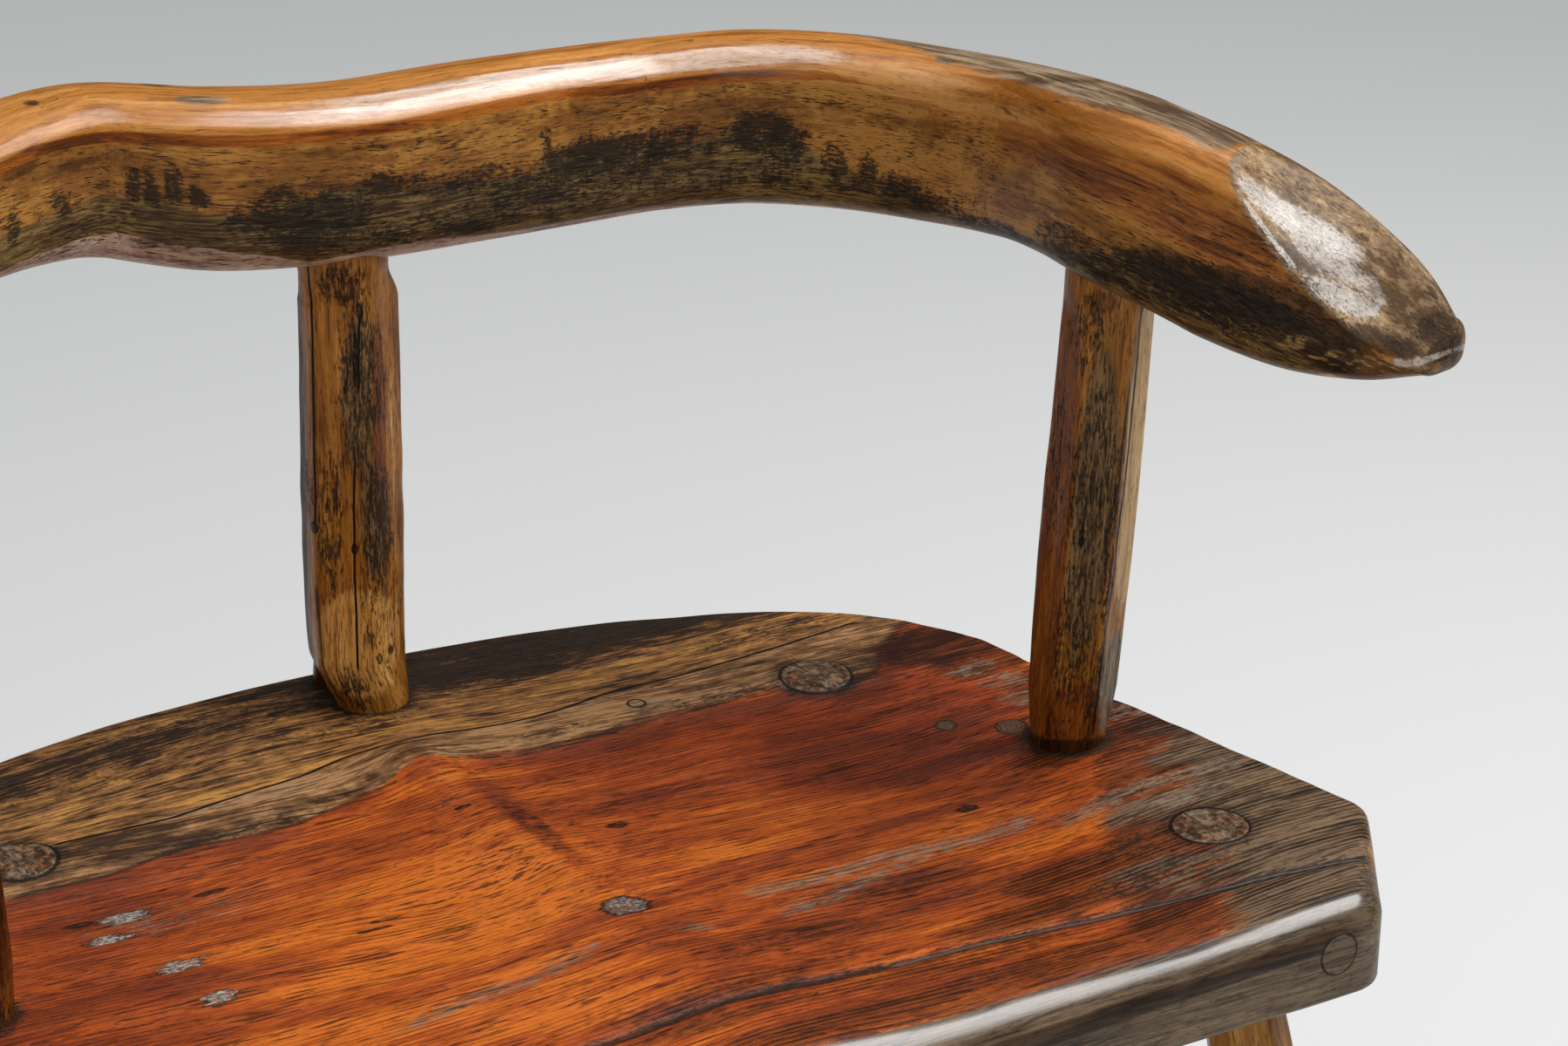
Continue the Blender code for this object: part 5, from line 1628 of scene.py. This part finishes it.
@dataclass
class Sticks:
    """The sticks between the seat and the branch, and the hand that shaved them."""

    seat: Seat
    arm: ArmBow
    side_foot: tuple[float, float] = (0.2487, -0.1132)
    side_lean: float = 0.007
    side_inward: float = 0.0026
    back_foot: tuple[float, float] = (0.003, 0.074)
    back_head_x: float = -0.0042
    slim_foot: tuple[float, float] = (-0.003, 0.1013)
    slim_head_x: float = 0.001
    # Radius of each stick's foot, body and neck
    side_radii: tuple[float, float, float] = (0.016, 0.0207, 0.0198)
    back_radii: tuple[float, float, float] = (0.016, 0.024, 0.0196)
    slim_radii: tuple[float, float, float] = (0.0097, 0.0095, 0.0088)
    back_flatness: float = 0.75
    sunk: float = 0.004         # how far a stick's foot goes on into the seat
    buried: float = 0.012       # and its head into the branch
    flare: float = 0.026
    neck: float = 0.006

    def stack(
        self, low: float, high: float, radii: tuple[float, float, float], bows: Sequence[Sequence[float]]
    ) -> tuple[tuple[float, float, float, float, float], ...]:
        """A shaved stick's rings: a round foot, a flare, a long body that strays, and a round neck.

        Args:
            low: Height of the seat's top.
            high: Height of the branch's underside.
            radii: Radius of the foot, the body and the neck.
            bows: How far the body strays in X and Y, near the foot and near the head.

        Returns:
            The rings as a rod takes them.
        """
        foot, body, head = radii
        lower, upper = bows
        length = high - low
        rows = (
            (-self.sunk, foot, 0.0, 0.0), (0.0, foot, 0.0, 0.0),
            (self.flare * 0.35, (foot * 2.0 + body) / 3.0, 0.35, 0.0), (self.flare, body * 0.97, 0.95, 0.0),
            (length * 0.45, body, 1.0, 0.4), (length - self.neck * 3.0, body * 0.97, 0.95, 1.0),
            (length - self.neck, head, 0.2, 1.0), (length, head, 0.0, 1.0),
            (length + self.buried, head, 0.0, 1.0),
        )
        rings = []
        for rise, radius, shaved, share in rows:
            stray = [(one + (two - one) * share) * shaved for one, two in zip(lower, upper)]
            rings.append((low + rise, radius, shaved, *stray))
        return tuple(rings)

    def seat_level(self, foot: tuple[float, float]) -> float:
        """Height of the seat's top at a stick's foot."""
        return BENCH.seat_top + float(self.seat.relief(np.array(foot[0]), np.array(foot[1])))

    def rods(self) -> tuple[Rod, ...]:
        """The four sticks: right, left, back and slim back."""
        made = []
        for side, word, facets, marks, creases, patches in (
            (1.0, "right", RIGHT_FACETS, RIGHT_MARKS, RIGHT_CREASES, RIGHT_PATCHES),
            (-1.0, "left", LEFT_FACETS, (), (), LEFT_PATCHES),
        ):
            foot = (side * self.side_foot[0], self.side_foot[1])
            cross = self.arm.crossing(side, foot[1] - self.side_lean)
            low, high = self.seat_level(foot), cross[2] - cross[4] / 2.0
            head = (cross[0] - side * self.side_inward, foot[1] - self.side_lean, high)
            stack = self.stack(low, high, self.side_radii, STRAIGHT)
            name = "stick_" + word
            made.append(Rod(
                name + "_wood", name, "stick", replace(STICK_WOOD, title=name + "_wood"), (*foot, low), head,
                stack, facets, marks=marks, creases=creases, patches=patches, seed=31 + len(made),
            ))
        middle = self.arm.crossing(0.0, 0.0)
        high = middle[2] - middle[4] / 2.0
        low = self.seat_level(self.back_foot)
        stack = self.stack(low, high, self.back_radii, BACK_BOWS)
        made.append(Rod(
            "stick_back_wood", "stick_back", "stick", replace(STICK_WOOD, title="stick_back_wood"),
            (*self.back_foot, low), (self.back_head_x, self.back_foot[1], high), stack, BACK_FACETS,
            flatness=self.back_flatness, marks=BACK_MARKS, creases=BACK_CREASES, patches=BACK_PATCHES,
            seed=41,
        ))
        low = self.seat_level(self.slim_foot)
        stack = self.stack(low, high, self.slim_radii, STRAIGHT)
        made.append(Rod(
            "stick_slim_wood", "stick_back_slim", "stick_dark", replace(STICK_WOOD, title="stick_slim_wood"),
            (*self.slim_foot, low), (self.slim_head_x, self.slim_foot[1], high), stack, SLIM_FACETS,
            patches=SLIM_PATCHES, seed=43,
        ))
        return tuple(made)


STRAIGHT = ((0.0, 0.0), (0.0, 0.0))
BACK_BOWS = ((-0.0068, -0.0006), (0.0003, -0.0011))
BACK_FACETS = (
    Facet(-64.0, 0.86), Facet(4.0, 0.9), Facet(72.0, 0.86), Facet(125.0, 0.9), Facet(180.0, 0.93),
    Facet(-122.0, 0.9),
)
RIGHT_FACETS = (
    Facet(-60.0, 0.86), Facet(0.0, 0.87), Facet(58.0, 0.84), Facet(112.0, 0.9), Facet(165.0, 0.9),
    Facet(-118.0, 0.9),
)
LEFT_FACETS = (
    Facet(-70.0, 0.88), Facet(-10.0, 0.89), Facet(50.0, 0.86), Facet(105.0, 0.89), Facet(160.0, 0.88),
    Facet(-130.0, 0.9),
)
SLIM_FACETS = (
    Facet(-80.0, 0.9), Facet(-20.0, 0.9), Facet(40.0, 0.91), Facet(100.0, 0.9), Facet(170.0, 0.89),
)
BACK_MARKS = (
    Mark(0.5156, -0.0141, 0.0024, 0.0018, MarkKind.BLACK_KNOT, 1.0),
    Mark(0.591, 0.005, 0.01, 0.001, MarkKind.BLACK_KNOT, 5.0),
    Mark(0.6126, 0.0073, 0.0036, 0.0014, MarkKind.BLACK_KNOT, 2.0),
    Mark(0.5053, 0.0029, 0.0026, 0.0013, MarkKind.BLACK_KNOT, 2.0),
    Mark(0.452, 0.0118, 0.0024, 0.001, MarkKind.BROWN_SPOT, 1.0),
    Mark(0.4532, 0.016, 0.002, 0.0009, MarkKind.BROWN_SPOT, 1.0),
)
BACK_CREASES = (
    Crease(
        ((0.5156, -0.0141), (0.5336, -0.0132), (0.5774, -0.0131), (0.635, -0.0125)), 0.0008, 0.5,
        sway=0.0002,
    ),
    Crease(((0.4455, 0.0018), (0.4684, 0.003), (0.5053, 0.0029), (0.548, 0.0043)), 0.0007, 0.5, sway=0.0003),
    Crease(((0.575, 0.006), (0.592, 0.0062), (0.6126, 0.0073)), 0.0007, 0.5, sway=0.0003),
    Crease(((0.429, -0.0122), (0.46, -0.0128), (0.49, -0.0137)), 0.0011, 0.6, sway=0.0003, share=0.7),
)
BACK_PATCHES = patch_table(
    tan=((0.0075, 0.575, 0.011, 0.042, 0.9), (0.011, 0.52, 0.007, 0.033, 0.8)),
    dirt=(
        (0.007, 0.578, 0.0115, 0.046, 0.6), (0.0125, 0.513, 0.0062, 0.04, 0.78),
        (-0.007, 0.517, 0.007, 0.038, 0.58), (-0.002, 0.438, 0.008, 0.015, 0.66),
        (-0.017, 0.533, 0.0035, 0.02, 0.5), (0.001, 0.625, 0.013, 0.011, 0.66),
        (0.0, 0.42, 0.03, 0.006, 0.55, 0.6), (0.012, 0.47, 0.009, 0.05, 0.34),
    ),
    umber=((0.0, 0.418, 0.03, 0.006, 0.55, 0.6), (-0.022, 0.54, 0.0045, 0.13, 0.8, 0.3)),
    orange=((0.014, 0.56, 0.003, 0.06, 0.75), (-0.0195, 0.54, 0.0045, 0.11, 0.9, 0.7)),
    pale=((0.0195, 0.54, 0.0032, 0.09, 0.45, 0.2),),
    # Amber, painted lighter where the seat shades the foot.
    honey=((0.002, 0.46, 0.022, 0.032, 0.9),),
)
RIGHT_MARKS = (Mark(0.524, -0.004, 0.0022, 0.0012, MarkKind.BLACK_KNOT, 1.5),)
RIGHT_CREASES = (
    Crease(
        (
            (0.431, 0.009), (0.4717, 0.0096), (0.4992, 0.011), (0.5311, 0.0115), (0.5621, 0.0123),
            (0.635, 0.0116),
        ),
        0.0006, 0.3, sway=0.0002,
    ),
    Crease(
        ((0.535, 0.0098), (0.57, 0.0092), (0.596, 0.0104)), 0.0006, 0.4, tone="2A170D", sway=0.0002,
        share=0.8,
    ),
)
RIGHT_PATCHES = patch_table(
    orange=((-0.0172, 0.52, 0.0085, 0.13, 1.1, 0.5), (0.0, 0.438, 0.02, 0.026, 0.9, 0.5)),
    tan=((-0.001, 0.54, 0.012, 0.09, 0.8),),
    pale=((0.017, 0.565, 0.0075, 0.09, 1.0, 0.5),),
    grey=((0.016, 0.455, 0.007, 0.03, 0.85, 0.3),),
    dirt=(
        (-0.003, 0.55, 0.0125, 0.06, 0.52), (-0.004, 0.482, 0.012, 0.05, 0.52),
        (-0.009, 0.615, 0.009, 0.022, 0.6), (0.0085, 0.525, 0.004, 0.056, 0.62),
        (-0.0168, 0.555, 0.0035, 0.045, 0.5), (0.008, 0.455, 0.005, 0.03, 0.62),
        (0.0, 0.415, 0.03, 0.007, 0.75, 0.75),
    ),
    umber=((0.0, 0.416, 0.03, 0.017, 1.2, 0.9), (-0.006, 0.63, 0.01, 0.008, 0.5)),
)
LEFT_PATCHES = patch_table(
    umber=((0.0, 0.49, 0.03, 0.1, 0.72, 0.6),),
    orange=((0.0, 0.5, 0.03, 0.15, 0.9, 0.7),),
    dirt=((0.0, 0.425, 0.03, 0.014, 0.6, 0.5), (0.004, 0.53, 0.008, 0.05, 0.5)),
)
SLIM_PATCHES = patch_table(
    orange=((0.0, 0.5, 0.03, 0.15, 0.9, 0.8),),
    umber=((0.0, 0.46, 0.03, 0.06, 0.6, 0.6),),
    dirt=((0.0, 0.423, 0.03, 0.007, 0.6, 0.6),),
)


@dataclass
class Leg(Rod):
    """A splayed leg whose round tenon comes out in the seat's top, cut level with it."""

    seat: Seat = field(default_factory=Seat)
    lift: float = 0.00025       # the tenon stands this proud of the worn seat

    def surface(self) -> tuple[Array, Array]:
        """Add the tenon's end, which follows the seat's dish."""
        points, side = super().surface()
        middle = points[-1].mean(axis=0)
        rings = []
        for share, drop in (
            (1.0, 0.0006), (0.985, 0.0001), (0.94, 0.0), (0.8, 0.0), (0.6, 0.0), (0.4, 0.0), (0.2, 0.0),
        ):
            ring = middle + (points[-1] - middle) * share
            ring[:, 2] = BENCH.seat_top + self.seat.relief(ring[:, 0], ring[:, 1]) + self.lift - drop
            rings.append(ring)
        cap = np.array(rings)
        points = np.concatenate([points[:-1], cap])
        reach = np.linalg.norm(cap[:, :, :2] - middle[:2], axis=-1)
        sides = side[-1][None] * (reach / reach[0])[..., None]
        return points, np.concatenate([side[:-1], sides])


@dataclass
class Undercarriage:
    """Four splayed legs, each with a wedge driven in its tenon."""

    seat: Seat
    foot_radius: float = 0.0175
    foot_round: float = 0.003
    belly_radius: float = 0.0212
    belly_height: float = 0.17
    neck_radius: float = 0.019
    neck_drop: float = 0.05
    shoulder_radius: float = 0.0172
    tenon_radius: float = 0.0158
    swell: float = 0.0005       # what the leg gains between two stations
    wedge_half: float = 0.0025
    wedge_gap: float = 0.0006   # from its end to the tenon's rim
    wedge_proud: float = 0.0004
    wedge_steps: int = 24

    def build(self) -> tuple[bpy.types.Object, ...]:
        """Make the legs and the wedges."""
        made = []
        under = BENCH.seat_top - self.seat.thickness
        top = BENCH.seat_top
        mean = (self.foot_radius + self.belly_radius) / 2.0 + self.swell
        high_mean = (self.belly_radius + self.neck_radius) / 2.0 + self.swell
        neck = under - self.neck_drop
        stack = (
            (0.0, self.foot_radius - self.foot_round, 0.6, 0.0, 0.0),
            (0.0008, self.foot_radius - 0.0012, 0.8, 0.0, 0.0),
            (self.foot_round, self.foot_radius, 0.95, 0.0, 0.0),
            (self.belly_height / 2.0, mean, 1.0, 0.0, 0.0),
            (self.belly_height, self.belly_radius, 1.0, 0.0, 0.0),
            ((self.belly_height + neck) / 2.0, high_mean, 1.0, 0.0, 0.0),
            (neck, self.neck_radius, 1.0, 0.0, 0.0), (under - 0.0005, self.shoulder_radius, 0.2, 0.0, 0.0),
            (under + 0.0015, self.tenon_radius, 0.0, 0.0, 0.0),
            (top - 0.002, self.tenon_radius, 0.0, 0.0, 0.0),
        )
        for index, (word, x, y, lean_x, lean_y) in enumerate(LEGS):
            foot = (x + lean_x * top, y + lean_y * top, 0.0)
            front = math.degrees(math.atan2(y + 0.1, x))
            leg = Leg(
                "leg_" + word + "_wood", "leg_" + word, "leg",
                replace(LEG_WOOD, title="leg_" + word + "_wood"), foot, (x, y, top), stack, LEG_FACETS,
                front=front, seed=61 + index, patches=LEG_PATCHES, seat=self.seat,
            )
            made.append(leg.build())
            made.append(self.wedge(word, x, y))
        return tuple(made)

    def wedge(self, word: str, x: float, y: float) -> bpy.types.Object:
        """The head of a wedge: a strip across the tenon, rounded a little at its edges, cut level with it.

        Args:
            word: Which leg it belongs to.
            x: The tenon's middle.
            y: The same, from the back leg line.

        Returns:
            The wedge.
        """
        share = np.linspace(-1.0, 1.0, self.wedge_steps)
        half = self.tenon_radius - self.wedge_gap
        right = np.stack([np.full(self.wedge_steps, self.wedge_half), share * half], axis=1)
        loop = np.vstack([right, -right])
        rings = []
        for scale, drop in (
            (0.8, 0.012), (1.0, 0.0118), (1.0, 0.0003), (0.97, 0.0), (0.8, 0.0), (0.5, 0.0), (0.2, 0.0),
        ):
            ring = loop * (1.0 - (1.0 - scale) * np.array([1.0, 0.1]))
            plan = ring + (x, y)
            level = BENCH.seat_top + self.seat.relief(plan[:, 0], plan[:, 1]) + self.wedge_proud - drop
            rings.append(np.column_stack([plan, level]))
        points = np.array(rings)
        grain = np.stack([points[..., 2], points[..., 1] - y, points[..., 0] - x], axis=-1)
        masks = {
            "grain": grain, "end": np.full(points.shape[:2], 0.8), "rust": np.full(points.shape[:2], 0.3),
        }
        piece = BENCH.piece("wedge_" + word + "_wood", points, masks, "wedge_" + word, "wedge")
        piece.data.materials.append(WEDGE_WOOD.material())
        return piece


WEDGE_WOOD = replace(LEG_WOOD, title="wedge_wood", bare=Tone("6A4A30", "4E3422", "2E1E14"))
LEG_FACETS = tuple(
    Facet(turn, share) for turn, share in zip(range(-180, 180, 45), (0.93, 0.95, 0.92, 0.94) * 2)
)
LEG_PATCHES = patch_table(
    end=((0.0, 0.424, 0.05, 0.006, 0.95, 0.95),),
    rust=((0.0, 0.424, 0.05, 0.006, 0.36, 0.36),),
    orange=((0.006, 0.3, 0.012, 0.09, 0.6, 0.3),),
    tan=((-0.006, 0.2, 0.01, 0.18, 0.8, 0.5),),
    dirt=((0.0, 0.0, 0.05, 0.02, 0.6, 0.6), (0.0, 0.365, 0.05, 0.018, 0.55, 0.5)),
)


@dataclass
class Peg:
    """The round peg let into the seat's front edge, cut level with it, its rim dark with dirt."""

    seat: Seat
    radius: float = 0.0095
    x: float = 0.249
    below_top: float = 0.0205
    depth: float = 0.006
    sides: int = 64

    def build(self) -> bpy.types.Object:
        """Make the peg as rings about its own line."""
        angle = np.linspace(0.0, 2.0 * math.pi, self.sides, endpoint=False)
        rows = (
            (0.97, -self.depth), (1.0, -self.depth * 0.9), (1.0, -0.0003), (0.985, -0.0001), (0.93, 0.0),
            (0.86, 0.0), (0.7, 0.0), (0.45, 0.0), (0.2, 0.0),
        )
        rings = []
        for share, ahead in rows:
            reach = self.radius * share
            level = BENCH.seat_top - self.below_top
            rings.append(np.stack([
                self.x + reach * np.cos(angle), np.full(self.sides, -BENCH.seat_front - ahead),
                level + reach * np.sin(angle),
            ], axis=1))
        points = np.array(rings)
        reach = np.hypot(points[..., 0] - self.x, points[..., 2] - BENCH.seat_top + self.below_top)
        masks = {
            "grain": self.seat.grain(points + (0.011, 0.0, 0.0007)), "front": np.ones(reach.shape),
            "dirt": 1.6 * soft_step(reach, self.radius * 0.86, self.radius * 0.95),
        }
        piece = BENCH.piece("front_peg_wood", points, masks, "front_peg", "peg")
        piece.data.materials.append(replace(SEAT_WOOD, title="front_peg_wood").material())
        return piece


# The studio


@dataclass
class Studio:
    """A pale floor, soft light from above, and the camera at the photograph's angle."""

    floor_half: float = 14.0
    floor_colour: str = "DCDCDA"
    sky_low: float = 0.04       # light of the room at the horizon
    sky_high: float = 0.95      # and overhead
    sky_from_to: tuple[float, float] = (0.42, 0.95)
    lens: float = 84.07
    sensor: float = 36.0
    eye: tuple[float, float, float] = (-0.6156, -1.2049, 1.0913)
    ahead: tuple[float, float, float] = (0.48425308, 0.79621432, -0.36268681)
    right: tuple[float, float, float] = (0.85626371, -0.51645173, 0.00949048)

    def build(self) -> None:
        """Set the floor, the lights, the sky and the camera."""
        self.add_floor()
        self.add_lamp("overhead_softbox", (1.3, -0.42, 2.75), (0.0, 0.0, 0.55), 2.0, 1.5, 66.0)
        self.add_lamp("front_fill", (-1.9, -2.6, 1.9), (0.0, 0.0, 0.5), 2.2, 1.6, 24.0)
        world = bpy.data.worlds.new("studio_world")
        bpy.context.scene.world = world
        world.use_nodes = True
        graph = Graph(world.node_tree)
        way = graph.add("ShaderNodeTexCoord", {}, "Generated")
        _, _, upward = graph.parts(way)
        glow = upward.ramp(*self.sky_from_to) * (self.sky_high - self.sky_low) + self.sky_low
        background = world.node_tree.nodes["Background"]
        background.inputs["Color"].default_value = (0.95, 0.97, 1.0, 1.0)
        graph.tree.links.new(glow.socket, background.inputs["Strength"])
        self.add_camera()
        bpy.context.scene.view_settings.view_transform = "Standard"

    def add_floor(self) -> None:
        """A large flat sheet of pale paper."""
        half = self.floor_half
        mesh = bpy.data.meshes.new("studio_floor")
        mesh.from_pydata(
            [(-half, -half, 0.0), (half, -half, 0.0), (half, half, 0.0), (-half, half, 0.0)], [],
            [(0, 1, 2, 3)],
        )
        floor = bpy.data.objects.new("studio_floor", mesh)
        bpy.context.scene.collection.objects.link(floor)
        material = bpy.data.materials.new("pale_paper")
        material.use_nodes = True
        shader = material.node_tree.nodes["Principled BSDF"]
        shader.inputs["Base Color"].default_value = paint(self.floor_colour)
        shader.inputs["Roughness"].default_value = 0.9
        mesh.materials.append(material)

    def add_lamp(
        self, name: str, place: tuple[float, float, float], target: tuple[float, float, float], wide: float,
        deep: float, power: float
    ) -> None:
        """Hang a soft rectangular lamp.

        Args:
            name: The lamp's name.
            place: Where it hangs.
            target: What it looks at.
            wide: Its width.
            deep: Its depth.
            power: Its power in watts.
        """
        light = bpy.data.lights.new(name, "AREA")
        light.shape = "RECTANGLE"
        light.size, light.size_y, light.energy = wide, deep, power
        lamp = bpy.data.objects.new(name, light)
        bpy.context.scene.collection.objects.link(lamp)
        lamp.location = place
        lamp.rotation_euler = (Vector(target) - Vector(place)).to_track_quat("-Z", "Y").to_euler()

    def add_camera(self) -> None:
        """Stand the camera where the photograph was taken from."""
        data = bpy.data.cameras.new("photo_camera")
        data.lens, data.sensor_width = self.lens, self.sensor
        camera = bpy.data.objects.new("photo_camera", data)
        bpy.context.scene.collection.objects.link(camera)
        right, ahead = Vector(self.right), Vector(self.ahead)
        upward = right.cross(ahead)
        turn = Matrix((right, upward, -ahead)).transposed().to_4x4()
        camera.matrix_world = Matrix.Translation(Vector(self.eye)) @ turn
        bpy.context.scene.camera = camera


def main() -> None:
    """Build the chair and the studio."""
    logging.basicConfig(level=logging.INFO, format="%(message)s")
    Studio().build()
    seat, arm = Seat(), ArmBow()
    pieces = [seat.build(), arm.build()]
    pieces += [rod.build() for rod in Sticks(seat, arm).rods()]
    pieces += Undercarriage(seat).build()
    pieces.append(Peg(seat).build())
    for piece in pieces:
        LOG.info("%s: %d faces", piece.name, len(piece.data.polygons))


if __name__ == "__main__":
    main()
